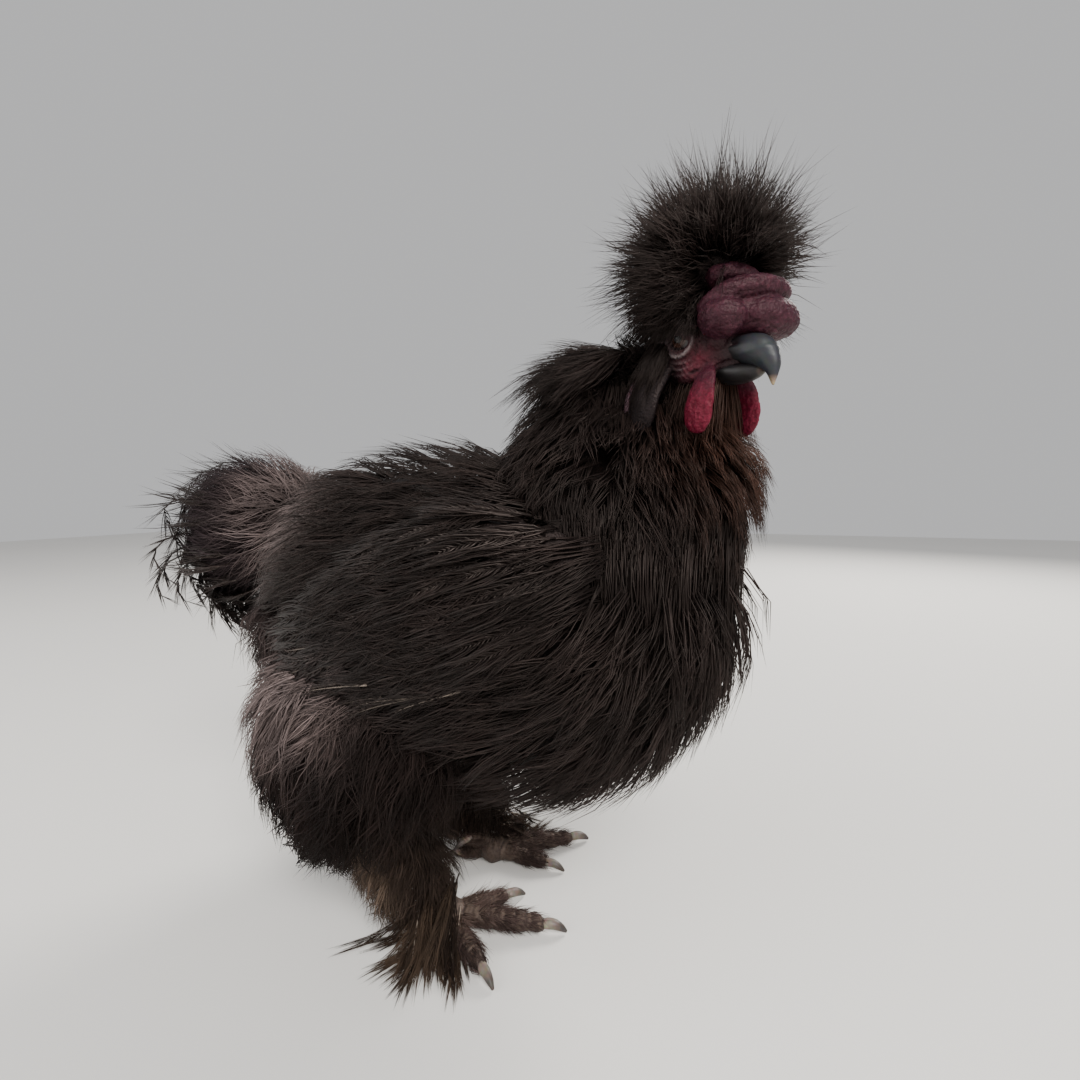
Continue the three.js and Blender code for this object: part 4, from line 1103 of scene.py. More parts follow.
def plumage_piece(name, lines, sides, outs, widths, tone, root_uv, material, slot="plumage", thick=0.55,
                  tip_light=1.25):
    points, quads, triangles, per_blade = blades(lines, sides, outs, widths, thick)
    corners = np.concatenate([quads.ravel(), triangles.ravel()]).astype(np.int32)
    totals = np.concatenate([np.full(len(quads), 4), np.full(len(triangles), 3)]).astype(np.int32)
    starts = np.concatenate([[0], np.cumsum(totals)[:-1]]).astype(np.int32)
    mesh = bpy.data.meshes.new(name)
    mesh.vertices.add(len(points))
    mesh.vertices.foreach_set("co", to_model(points).astype(np.float32).ravel())
    mesh.loops.add(len(corners))
    mesh.loops.foreach_set("vertex_index", corners)
    mesh.polygons.add(len(totals))
    mesh.polygons.foreach_set("loop_start", starts)
    mesh.polygons.foreach_set("loop_total", totals)
    mesh.update(calc_edges=True)
    blade = np.arange(len(points)) // per_blade
    place = np.arange(len(points)) % per_blade
    share = place // 3 / (per_blade // 3)
    corner = np.where(place == per_blade - 1, 1, place % 3) / 2
    # painted shade at the root, painted light towards the tip
    shade = (ROOT_SHADE + (tip_light - ROOT_SHADE) * share)[:, None]
    set_colours(mesh, tone[blade] * shade)
    uv = root_uv[blade] + np.stack([corner - 0.5, share - 0.5], 1) * PATCH
    layer = mesh.uv_layers.new(name="OFBake")
    layer.data.foreach_set("uv", uv[corners].astype(np.float32).ravel())
    mesh.materials.append(material)
    mesh.shade_smooth()
    made = bpy.data.objects.new(name, mesh)
    bpy.context.scene.collection.objects.link(made)
    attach(made, "root")
    print(f"{name}: {len(lines)} strands, {2 * len(quads) + len(triangles)} triangles")


# %% [markdown]
# ### The look of silk, fluff and vanes
# Dark plumage has a soft, warm gleam. The three materials differ in how rough they are: vanes shine most and
# fluff least. Large soft noise lightens the colour here and there, a painted sheen as light catches some
# locks more than others.

# %% Plumage material
WARM_GLEAM = (1.0, 0.84, 0.77, 1.0)


def plumage_material(name, roughness, gleam):
    made, tree, surface, blended = toned_material(name, "MULTIPLY", 1.0)
    sheen_patches = texture(tree, "ShaderNodeTexNoise", Scale=38.0, Detail=3.0)
    fine = texture(tree, "ShaderNodeTexNoise", Scale=700.0, Detail=2.0)
    # the lighter spots are painted sheen
    shades = ((0.72, 0.70, 0.70, 1), (1.45, 1.36, 1.32, 1))
    tree.links.new(colour_ramp(tree, sheen_patches.outputs["Fac"], (0.35, 0.70), shades), blended)
    rough_between(tree, surface, fine.outputs["Fac"], roughness - 0.1, roughness + 0.12)
    surface.inputs["Specular IOR Level"].default_value = gleam
    surface.inputs["Specular Tint"].default_value = WARM_GLEAM
    return made


silk = plumage_material("silky_plumage", 0.52, 0.28)
fluff = plumage_material("loose_fluff", 0.75, 0.12)
vane = plumage_material("flight_vane", 0.40, 0.32)
print("materials of the plumage:", silk.name, fluff.name, vane.name)

# %% [markdown]
# ### Coat over a form
# Locks are set at random but evenly over a form's skin, never where another form or the bare face lies. The
# number of locks goes with the area: random places are tried, and fewer are kept where the grid is narrow.

# %% Even random roots on a form
def even_roots(form, count, rng, t_range=(0.02, 0.98)):
    """`count` random (t, turn) pairs, spread evenly over the form's area."""
    area = np.linalg.norm(np.cross(form.onward, form.around), axis=2)
    tries = count * 6
    t = rng.uniform(*t_range, tries)
    turn = rng.uniform(0, 2 * np.pi, tries)
    here = form.read(area[..., None], t, turn)[:, 0]
    keep = rng.random(tries) < here / np.percentile(area, 97)
    return t[keep][:count], turn[keep][:count]


# %% [markdown]
# ### How a coat lies
# A lock's root is sunk under the form by the coat's depth. The lock comes up to the form's surface towards
# its tip, or past it by `flare`. `press` draws a coat in where it has to lie close, `swing` turns locks out
# of the flow and `drift` bends them sideways. A coat could also be combed by hand, but then every change of
# the form would mean to comb it again.

# %% A coat of locks
ROOT_SINKS = 1.5
COAT_STRAYS = 0.05


def evenly(length):
    """The same length for every lock."""
    return lambda t: np.full(len(t), float(length))


def form_uv(t, turn, edge=0.04):
    """Places in the UV map for roots on a form, which keep clear of the map's edges."""
    return np.stack([edge + (1 - 2 * edge) * (turn / (2 * np.pi) % 1), edge + (1 - 2 * edge) * t], 1)


def strand_tones(lock_tone, strand_count, rng):
    """Each strand takes its lock's colour, a little darker or lighter."""
    tone = np.repeat(lock_tone, strand_count, 0)
    return tone * rng.uniform(0.8, 1.25, len(tone))[:, None]


def coat(name, form, depths, flow, locks, strand_count, rng, width, spread, length, keep=None,
         t_range=(0.02, 0.98), stations=4, flare=2.0, height=3.0, material=None, slot="plumage", wave=1.0,
         pinch=0.75, tone_gain=1.0, press=None, swing=0.14, drift=0.0):
    t, turn = even_roots(form, locks, rng, t_range)
    roots = form.read(form.points, t, turn)
    outs = unit(form.read(form.out, t, turn))
    if keep:
        chosen = keep(roots, outs, t)
        t, turn = t[chosen], turn[chosen]
    shares = np.linspace(0, 1, stations)
    lengths = length(t) * rng.uniform(0.8, 1.15, len(t))
    tilt = rng.normal(0, swing, len(t))

    def swung(here, out):
        heading = flow(here, out)
        return heading + np.cross(out, heading) * tilt[:, None]

    way, way_out = ways(form, t, turn, swung, lengths, shares)
    depth = along(depths, t)
    lift = flare * rng.uniform(-0.3, 2.0, len(t))
    pressed = np.stack([press(way[:, k]) for k in range(stations)], 1) if press else 0.0
    sunk = ((depth + ROOT_SINKS)[:, None] * (1 - shares) ** 1.5 + pressed * np.minimum(shares * 2.5, 1)
            - lift[:, None] * shares**2)
    way = way - way_out * sunk[..., None]
    sideways = unit(np.cross(way_out, np.gradient(way, axis=1)))
    bends = np.sin(rng.uniform(0, 2 * np.pi, (len(t), 1)) + rng.uniform(2, 7, (len(t), 1)) * shares)
    way = way + sideways * (drift * bends * shares)[..., None]
    made = strands(way, way_out, strand_count, np.full(len(t), spread), np.full(len(t), height), width, rng,
                   pinch=pinch, wave=wave, fly=COAT_STRAYS)
    tone = plumage_tone(way[:, 2]) * rng.uniform(0.6, 1.55, len(t))[:, None] * tone_gain
    tone = strand_tones(tone, strand_count, rng)
    uv = np.repeat(form_uv(t, turn, 0.02), strand_count, 0)
    plumage_piece(name, *made, tone, uv, material or silk, slot)


# %% [markdown]
# ### Where no plumage grows
# The face of a cock is bare round the eye and down to the jaw, and the plumage lies close behind the
# wattles and lobes. Such places could be painted by hand as a mask on a mesh. Here two short tests on the
# head's own measures say where a place lies, because they hold for any root without a mesh at hand.

# %% Where no plumage grows
DEEP_HOLLOW = 13.0


def face_zone(points):
    """True on the bare face, in front of the cheeks and above the jaw."""
    ahead, right, crown = head_measures(points)
    return (ahead > -13) & (crown > -15) & (ahead < 60) & (np.abs(right) < 40)


def throat_zone(points):
    """True behind the wattles and lobes, where the plumage lies close."""
    ahead, right, crown = head_measures(points)
    return (crown > -52) & (ahead > -22) & (np.abs(right) < 34)


DENSITY = 1.0


def amount(locks):
    return int(locks * DENSITY)


print("share of the locks that is made:", DENSITY)

# %% [markdown]
# ### Hackle
# The hackle is the long silk that falls from the nape over the shoulders, front and back. It hides where
# the neck joins the body. A lock's length comes from its place on the neck: long at the neck's base, short
# at the head. At its lower end the hackle is pressed down onto the shoulders, as hair closes onto a back.

# %% Hackle
HACKLE_LENGTHS = [82, 60, 44, 34]


def hackle_flow(here, out):
    down = repeated((0, 0, -1), len(here))
    down[:, 0] = out[:, 0] * 0.45 - 0.14
    down[:, 1] = out[:, 1] * 0.3
    return down


def hackle_press(places):
    """The hackle closes onto the shoulders at its lower end, less so in front."""
    front = np.clip((places[:, 0] - 70) / 40, 0, 1)
    return np.clip((216 - places[:, 2]) * 0.45, 0, 20) * (1 - 0.8 * front) + lobe_hollow(places)


def hackle_grows(roots):
    return ~throat_zone(roots) & ~torso.covers(roots, 0.72) & (lobe_hollow(roots) < DEEP_HOLLOW)


for word, side in SIDES.items():
    rng = np.random.default_rng(11 + side)
    coat(f"hackle_{word}", neck, NECK_COAT, hackle_flow, amount(1200), 8, rng, width=0.7, spread=7.5,
         length=lambda t: along(HACKLE_LENGTHS, t) * rng.uniform(0.45, 1.25, len(t)),
         keep=lambda roots, outs, t: (roots[:, 1] * side >= 0) & hackle_grows(roots),
         t_range=(0.10, 0.92), swing=0.22, drift=2.5, pinch=0.6, wave=1.4, press=hackle_press)

# %% [markdown]
# ### Ruff and throat
# Round the top of the neck stands a ruff of short loose silk. In front the plumage is short and lies close,
# so that the wattles and lobes hang free of it. The throat's coat is therefore pressed in behind them,
# deepest behind the lobes, which looks more real than to cut a hole in the coat.

# %% Ruff and throat
def throat_press(places):
    """How far the plumage lies under the form, in mm: deep behind the lobes and wattles."""
    pressed = lobe_hollow(places) * 1.1
    for side in HEAD_SIDES.values():
        pressed = np.maximum(pressed, 6 * near(places, in_head(14, side * 14, -24), (9, 9, 15)))
    return pressed


def throat_grows(roots, outs, t):
    return throat_zone(roots) & ~face_zone(roots) & (lobe_hollow(roots) < DEEP_HOLLOW)


def ruff_flow(here, out):
    return np.stack([-0.9 + 0.5 * out[:, 0], 0.5 * out[:, 1], np.full(len(here), -0.8)], 1)


# the ruff's random draws go on from those of the left hackle
coat("ruff", neck, [2], ruff_flow, amount(690), 8, rng, width=0.6, spread=6.0,
     length=lambda t: 24 + 18 * rng.random(len(t)), keep=lambda roots, outs, t: ~throat_zone(roots),
     t_range=(0.84, 0.985), flare=6.0, height=6.0, pinch=0.35, swing=0.3, drift=2.0)
coat("throat", neck, [COAT, COAT - 3, COAT - 3, 8], hackle_flow, amount(1500), 7, np.random.default_rng(19),
     width=0.6, spread=5.0, length=evenly(26), keep=throat_grows, t_range=(0.3, 0.97), press=throat_press,
     flare=1.0, height=2.5, pinch=0.5)

# %% [markdown]
# ### Nape and cheeks
# Behind the face the silk of the head sweeps back and down over the neck. It starts on the skull itself, so
# the same coat is laid over the skull's form, with a wide flare at the tips.

# %% Nape and cheeks
def nape_flow(here, out):
    return repeated((-1, 0.2, -0.75), len(here)) + out * 0.2


def on_nape(roots, outs, t):
    ahead, right, crown = head_measures(roots)
    return (ahead < -9 - 0.25 * np.abs(crown)) & (crown > -20)


rng = np.random.default_rng(23)
coat("nape", skull, [0.5], nape_flow, amount(900), 8, rng, width=0.6, spread=7.0,
     length=lambda t: 34 + 18 * rng.random(len(t)), keep=on_nape, t_range=(0.02, 0.7), flare=10.0,
     height=7.0, pinch=0.3, swing=0.35, drift=2.5, wave=1.6)

# %% [markdown]
# ### Beard
# The beard hangs free from the underside of the jaw, between and behind the wattles. Nothing lies under it
# that it could follow, so its tufts don't walk over a form. Each goes straight along its own heading and
# sags a little, and the helper that does this serves the bib, the brow and the ears as well.

# %% Beard
HANG_STATIONS = 4


def hanging_piece(name, roots, headings, outs, lengths, strand_count, rng, uv, width, spread, wave=1.2,
                  pinch=0.3, sag=0.3, tone_gain=1.0):
    count = len(roots)
    share = np.linspace(0, 1, HANG_STATIONS)[None, :, None]
    down = np.array([0.0, 0.0, -1.0])
    way = roots[:, None] + lengths[:, None, None] * (headings[:, None] * share + sag * down * share**2)
    way_out = np.repeat(outs[:, None], HANG_STATIONS, 1)
    made = strands(way, way_out, strand_count, np.full(count, spread), np.full(count, spread * 0.8), width,
                   rng, pinch=pinch, wave=wave)
    tone = plumage_tone(way[:, 2]) * rng.uniform(0.7, 1.3, count)[:, None] * tone_gain
    tone = strand_tones(tone, strand_count, rng)
    plumage_piece(name, *made, tone, np.repeat(uv, strand_count, 0), silk)


rng = np.random.default_rng(27)
tufts = amount(430)
back_to_front = rng.uniform(-16, 13, tufts)
across = rng.uniform(-1, 1, tufts)
roots = np.array([in_head(a, 7.5 * x - 1, -9.5 + 2.5 * x * x) for a, x in zip(back_to_front, across)])
lean = rng.uniform(-0.35, 0.22, tufts)
headings = unit(-CROWN + AHEAD * lean[:, None] + RIGHT * 0.35 * across[:, None])
outs = unit(AHEAD * 0.9 + RIGHT * across[:, None] * 0.8)
uv = np.stack([0.5 + 0.3 * across, 0.5 + back_to_front / 50], 1)
hanging_piece("beard", roots, headings, outs, rng.uniform(18, 34, tufts), 8, rng, uv, width=0.55, spread=5.0)

# %% [markdown]
# ### Bib
# Long tufts fall from the neck's base over the breast. On the bird they are the lowest hackle feathers. On
# the model they also hide the edge where the neck's form ends on the breast, so they start a little under
# the neck's outer form and hang almost straight down.

# %% Bib
BIB_FROM, BIB_TO = 172, 214
BIB_SUNK = 9.0
rng = np.random.default_rng(28)
t, turn = even_roots(neck, amount(800), rng, (0.06, 0.40))
roots = neck.read(neck.points, t, turn)
outs = unit(neck.read(neck.out, t, turn))
in_front = (outs[:, 0] > -0.35) & (roots[:, 2] > BIB_FROM) & (roots[:, 2] < BIB_TO)
t, turn, roots, outs = t[in_front], turn[in_front], roots[in_front], outs[in_front]
level = outs * np.array([1.0, 1.0, 0.0])
headings = unit(np.array([0.0, 0.0, -1.0]) - 0.16 * level + rng.normal(0, 0.07, outs.shape))
hanging_piece("bib", roots - outs * BIB_SUNK, headings, unit(level), rng.uniform(40, 72, len(t)), 8, rng,
              form_uv(t, turn), width=0.7, spread=7.0, wave=1.6, pinch=0.5, sag=0.0)

# %% [markdown]
# ### Brow and ears
# Short down reaches from the crest to just above each eye and shades it. A tuft of short feathers grows
# over each ear and falls over the front and the upper half of the ear lobe, so that the lobe's rear edge
# and its lower end show. Both hang from the side of the head, so one helper sets their roots and headings.

# %% Brow and ears
def side_tufts(name, side, rng, back_to_front, height, out_of_middle, heading, lengths, **look):
    """Tufts on one side of the head; `heading` holds shares of crown, outward and a range ahead."""
    roots = np.array([in_head(a, side * r, c) for a, r, c in zip(back_to_front, out_of_middle, height)])
    up, outward, ahead_low, ahead_high = heading
    count = len(roots)
    headings = unit(CROWN[None] * up + RIGHT[None] * side * outward
                    + AHEAD[None] * rng.uniform(ahead_low, ahead_high, count)[:, None])
    outs = repeated(RIGHT * side, count)
    hanging_piece(name, roots, headings, outs, lengths(rng), 7, rng, width=0.4, **look)


rng = np.random.default_rng(29)
tufts = amount(110)
for word, side in HEAD_SIDES.items():
    back_to_front = rng.uniform(-13, 10, tufts)
    height = rng.uniform(10, 14.5, tufts)
    side_tufts(f"brow_down_{word}", side, rng, back_to_front, height, 12.2 - 0.03 * back_to_front**2,
               (-0.75, 0.55, -0.6, 0.15), lambda rng: (height - 4.0) * rng.uniform(0.9, 1.4, tufts),
               uv=np.stack([0.5 + back_to_front / 50, 0.7 + height / 80], 1), spread=3.0, wave=0.7,
               sag=0.1, tone_gain=0.8)

rng = np.random.default_rng(30)
tufts = amount(150)
for word, side in HEAD_SIDES.items():
    back_to_front = rng.uniform(-14, -3.5, tufts)
    height = rng.uniform(-4, 3.5, tufts)
    side_tufts(f"ear_tuft_{word}", side, rng, back_to_front, height, np.full(tufts, 14.5),
               (-0.85, 0.52, -0.22, 0.12), lambda rng: rng.uniform(12, 25, tufts),
               uv=np.stack([0.5 + back_to_front / 50, 0.5 + height / 80], 1), spread=4.4, wave=1.4,
               sag=0.2, tone_gain=0.75)

# %% [markdown]
# ### Breast, back and belly
# The silk lies back from the breast and down over the flanks, and on the front of the breast it falls. One
# flow rule blends the two. The torso's coat is kept in four pieces, so that none grows past the limit on
# triangles, and it stays clear of the places that the neck, wings and thighs cover.

# %% Torso plumage
BREAST_FROM = 60.0
BAND_SEEDS = {"breast": 7, "back": 0}


def torso_flow(here, out):
    flow = repeated((-1, 0, -0.42), len(here))
    front = np.clip((here[:, 0] - BREAST_FROM) / 70, 0, 1)
    flow[:, 0] += 0.75 * front
    flow[:, 2] -= 0.8 * front
    flow[:, 1] = out[:, 1] * 0.25
    return flow


def clear_of_limbs(roots):
    clear = ~neck.covers(roots, 0.8)
    for word in SIDES:
        clear &= ~thighs[word].covers(roots, 0.72) & ~wings[word].covers(roots, 0.85)
    return clear


def torso_grows(band, side):
    def keep(roots, outs, t):
        in_band = (roots[:, 0] > BREAST_FROM) == (band == "breast")
        return in_band & (roots[:, 1] * side >= 0) & clear_of_limbs(roots)
    return keep


for band, seed in BAND_SEEDS.items():
    for word, side in SIDES.items():
        rng = np.random.default_rng(31 + side + seed)
        coat(f"{band}_{word}", torso, [COAT], torso_flow, amount(2300), 8, rng, width=0.8, spread=7.0,
             length=lambda t: 34 + 22 * rng.random(len(t)), keep=torso_grows(band, side), swing=0.26,
             drift=3.0, pinch=0.6, wave=1.4)

# %% [markdown]
# ### Thigh fluff
# Deep, soft fluff hangs from the thighs. Behind, under the wing, it is pale, which the colour by place
# already says. Fluff has little shine and little order, so its locks swing, wave and open more than those
# of the back.

# %% Thigh fluff
FLUFF_LOOK = dict(material=fluff, slot="fluff", pinch=0.4)


def thigh_flow(here, out):
    flow = repeated((-0.35, 0, -1), len(here))
    flow[:, 0] += out[:, 0] * 0.35
    flow[:, 1] = out[:, 1] * 0.3
    return flow


for word, side in SIDES.items():
    coat(f"thigh_fluff_{word}", thighs[word], [THIGH_COAT], thigh_flow, amount(860), 8,
         np.random.default_rng(51 + side), width=0.7, spread=8.0, length=evenly(36),
         keep=lambda roots, outs, t: (roots[:, 1] * side > 6) & ~torso.covers(roots, 0.8),
         t_range=(0.12, 0.97), wave=2.0, flare=1.0, height=2.0, swing=0.4, drift=3.0, **FLUFF_LOOK)

# %% [markdown]
# ### Vent fluff
# Under the tail the body is closed by a soft cushion of fluff between the thighs. It is a form of its own,
# because the torso's form turns up towards the tail and would leave a hollow there.

# %% Vent fluff
def vent_flow(here, out):
    return repeated((-0.35, 0, -1), len(here)) + out * np.array([0.3, 0.3, 0])


def on_vent(roots, outs, t):
    clear = ~torso.covers(roots, 0.9) & (roots[:, 0] < -62)
    for word in SIDES:
        clear &= ~thighs[word].covers(roots, 0.85) & ~wings[word].covers(roots, 0.9)
    return clear


coat("vent_fluff", vent, [VENT_COAT], vent_flow, amount(640), 8, np.random.default_rng(57), width=0.65,
     spread=7.0, length=evenly(34), keep=on_vent, t_range=(0.05, 0.9), wave=2.4, flare=3.0, swing=0.4,
     drift=3.0, **FLUFF_LOOK)

# %% [markdown]
# ### Cuffs round the shanks
# A silkie's fluff goes on down the shank to the foot. A loose cuff hangs round each shank, wider than the
# shank itself, and ends at the toes. It is a coat over a form that only serves to carry it.

# %% Cuffs round the shanks
def cuff_flow(side):
    def flow(here, out):
        return repeated((-0.25, side * 0.2, -1), len(here)) + out * np.array([0.3, 0.3, 0])
    return flow


for word, side in SIDES.items():
    coat(f"cuff_{word}", cuffs[word], [15], cuff_flow(side), amount(330), 8, np.random.default_rng(61 + side),
         width=0.65, spread=6.0, length=evenly(27), t_range=(0.14, 0.72), wave=2.0, flare=2.5, swing=0.35,
         drift=2.0, tone_gain=1.1, **FLUFF_LOOK)

# %% [markdown]
# ### Crest
# The crest is a round puff: silk stands out all round a ball over the skull, and single fine hairs reach
# beyond it. Roots set on a sunflower spiral spread over a ball evenly, with no bare spots. The hairs lean
# back a little, fall at the nape, and leave the side towards the comb and face free.

# %% Roots of the crest
SUNFLOWER_TURN = math.pi * (3 - math.sqrt(5))
CREST_REACH = 1.86


def crest_roots(count, rng):
    k = np.arange(count) + 0.5
    height = 1 - CREST_REACH * k / count
    ring = np.sqrt(1 - height**2)
    turn = SUNFLOWER_TURN * k
    out = (height[:, None] * CROWN + (ring * np.cos(turn))[:, None] * AHEAD
           + (ring * np.sin(turn))[:, None] * RIGHT)
    out = unit(out + rng.normal(0, 0.16, out.shape))
    uv = np.stack([0.04 + 0.92 * (turn / (2 * np.pi) % 1), 0.5 + 0.44 * height], 1)
    face_on = (out @ AHEAD > 0.45) & (height < 0.12)
    return out[~face_on], height[~face_on], uv[~face_on]


# %% [markdown]
# ### Silk and wisps of the crest
# The puff is made twice: once dense and short for the silk, and once thin and long for the wisps that catch
# the light beyond its edge. Their tips are paler than their roots, as the light shines through fine barbs.

# %% Silk and wisps of the crest
def crest_piece(name, count, strand_count, length, rng, width, spread, wave, fly, tip_light):
    out, height, uv = crest_roots(count, rng)
    count = len(out)
    lean = unit(CROWN * 0.3 - AHEAD * 0.8)
    root = in_head(*CREST_PLACE) + out * (CREST_RADIUS - 5)
    reach = length * rng.uniform(0.8, 1.15, count)
    share = np.linspace(0, 1, HANG_STATIONS)[None, :, None]
    behind = -(out @ AHEAD)
    nape = np.clip(behind, 0, 1) * np.clip(0.2 - height, 0, 1)
    fall = (rng.uniform(0, 0.16, count) + 1.1 * nape)[:, None, None]
    low_back = np.clip((-0.15 - height) / 0.4, 0, 1) * np.clip(0.4 + behind, 0, 1)
    reach = reach * (1 + 0.35 * nape) * (1 - 0.3 * np.clip(low_back, 0, 1))
    bend = (lean[None, None] * 0.16 + np.array([0, 0, -1.0]) * fall) * share**2
    curve = rng.normal(0, 0.20, (count, 1, 3)) * share**2
    way = root[:, None] + reach[:, None, None] * (out[:, None] * share + bend + curve)
    side_out = unit(np.cross(out, np.cross(lean, out)))
    way_out = np.repeat(side_out[:, None], HANG_STATIONS, 1)
    made = strands(way, way_out, strand_count, np.full(count, spread), np.full(count, spread * 0.5), width,
                   rng, pinch=0.2, wave=wave, fly=fly)
    blades_made = count * strand_count
    tone = repeated(BROWN_BLACK, blades_made) * rng.uniform(0.7, 1.4, blades_made)[:, None]
    plumage_piece(name, *made, tone, np.repeat(uv, strand_count, 0), silk, tip_light=tip_light)


crest_piece("crest_silk", amount(1500), 7, 26, np.random.default_rng(71), width=0.52, spread=7.0, wave=1.8,
            fly=0.05, tip_light=1.25)
crest_piece("crest_wisps", amount(400), 4, 31, np.random.default_rng(72), width=0.36, spread=4.0, wave=2.4,
            fly=0.08, tip_light=2.6)

# %% [markdown]
# ## Feathers with a quill
# Flight feathers, plumes and hooks have a quill with barbs on both sides. A flat card with a picture of a
# feather is the usual short way, but it looks like paper from the side. Here each barb is a blade of its
# own that leaves the quill, runs out and turns towards the tip. A silkie's barbs don't hook together, so
# gaps stay between them. All feathers of one piece are bent together, station by station.

# %% Quills
QUILL_STATIONS = 7
BARB_STATIONS = 4


def quill_ways(bases, headings, outs, lengths, droop, curl, rng):
    """Middle lines of feathers and their upward directions; `droop` and `curl` bend them, in radians."""
    share = np.linspace(0, 1, QUILL_STATIONS)
    bend = (droop * share**1.5 + curl * share**3)[None, :] * rng.uniform(0.8, 1.2, len(bases))[:, None]
    step = (lengths[:, None] / (QUILL_STATIONS - 1))[..., None]
    run = headings[:, None] * np.cos(bend)[..., None] - outs[:, None] * np.sin(bend)[..., None]
    middle = bases[:, None] + np.cumsum(run * step, 1) - run[:, :1] * step
    middle[..., 2] = np.maximum(middle[..., 2], STRAND_FLOOR)
    up = outs[:, None] * np.cos(bend)[..., None] + headings[:, None] * np.sin(bend)[..., None]
    return middle, up


# %% [markdown]
# ### Barbs
# The barbs are made for all feathers of a piece at once, one place along the quill after another, and by
# turns on its left and right. They are longest near the middle of the quill. Every number has some chance
# in it, because feathers that are all alike look printed.

# %% Barbs
def barb_lines(middle, up, side, start, hand, width, sweep, rng):
    """One barb for each feather, `start` of the way along its quill, on its left or right `hand`."""
    count = len(middle)
    part = np.linspace(0, 1, BARB_STATIONS)[None, :, None]
    at = start * (QUILL_STATIONS - 1)
    i = min(int(at), QUILL_STATIONS - 2)
    root = middle[:, i] + (middle[:, i + 1] - middle[:, i]) * (at - i)
    ahead = unit(middle[:, i + 1] - middle[:, i])
    fullness = 0.55 + 0.45 * math.sin(math.pi * min(start * 0.9 + 0.1, 1))
    reach = (width * fullness * rng.uniform(0.75, 1.2, count))[:, None, None]
    onward = ahead[:, None] * (0.9 * part + 1.5 * sweep * part**2)
    outward = hand * side[:, None] * (part - 0.5 * part**2) * rng.uniform(0.6, 1.1, (count, 1, 1))
    lift = up[:, i][:, None] * rng.normal(0.05, 0.16, (count, 1, 1)) * part**2
    line = root[:, None] + reach * (onward + outward + lift)
    line[..., 2] = np.maximum(line[..., 2], STRAND_FLOOR)
    return line, np.repeat(up[:, i][:, None], BARB_STATIONS, 1)


def vane_piece(name, bases, headings, outs, lengths, width, rng, uv, tones=None, quill_tones=None, barbs=26,
               droop=0.12, curl=0.0, quill=0.9, barb_width=1.3, sweep=1.0, material=None, slot="flight"):
    """Feathers at `bases`, that run along `headings` with their flat side towards `outs`."""
    count = len(bases)
    material = material or vane
    side = unit(np.cross(outs, headings))
    middle, up = quill_ways(bases, headings, outs, lengths, droop, curl, rng)
    tones = plumage_tone(bases) if tones is None else tones
    quill_tones = tones * 0.8 if quill_tones is None else quill_tones
    tones = tones * rng.uniform(0.75, 1.3, count)[:, None]
    taper = barb_width * (1 - 0.6 * np.linspace(0, 1, BARB_STATIONS))[None]
    barb_sets = []
    for k in range(barbs):
        start = 0.06 + 0.90 * (k // 2 + rng.uniform(0.2, 0.8)) / (barbs / 2)
        line, line_up = barb_lines(middle, up, side, start, 1 if k % 2 else -1, width, sweep, rng)
        widths = taper * rng.uniform(0.7, 1.2, (count, 1))
        barb_sets.append((line, np.repeat(side[:, None], BARB_STATIONS, 1), line_up, widths,
                          tones * rng.uniform(0.8, 1.25, (count, 1))))
    shaft_width = quill * (1 - 0.8 * np.linspace(0, 1, QUILL_STATIONS))[None, :] * np.ones((count, 1))
    sides = np.repeat(side[:, None], QUILL_STATIONS, 1)
    plumage_piece(name + "_quills", middle, sides, up, shaft_width, quill_tones, uv, material, slot,
                  thick=0.8, tip_light=0.6)
    joined = [np.concatenate([barb[k] for barb in barb_sets]) for k in range(5)]
    plumage_piece(name, *joined, np.tile(uv, (barbs, 1)), material, slot, thick=0.3, tip_light=1.1)


# %% [markdown]
# ### Wing vanes
# Silk hides the wing's shoulder, and tiers of narrow vanes lie behind it like roof tiles, each tier a
# little longer than the one before. The quills of the lowest vanes are pale and show, because their barbs
# are worn.

# %% Wing vanes
WING_TIERS = [
    (0.14, 42, 9, 1.15),
    (0.28, 44, 10, 1.2),
    (0.42, 46, 10, 1.25),
    (0.56, 50, 11, 1.25),
    (0.70, 56, 11, 1.25),
    (0.82, 62, 10, 1.2),
]
PALE_QUILL = np.array([0.30, 0.26, 0.22])
WING_RNG = {word: np.random.default_rng(91 + side) for word, side in SIDES.items()}
OUTER_SIDE = {"right": math.pi, "left": 0}


def wing_flow(side):
    def flow(here, out):
        return repeated((-1, side * -0.03, -0.36), len(here))
    return flow


def on_wing(word, t, turn, above, ragged, rng):
    """Places `above` mm over a wing's form, the directions out of it, and headings along it."""
    wing = wings[word]
    outs = unit(wing.read(wing.out, t, turn))
    bases = wing.read(wing.points, t, turn) + outs * above
    flow = wing_flow(SIDES[word])(bases, outs) + rng.normal(0, ragged, bases.shape)
    return bases, outs, laid_on(flow, outs)


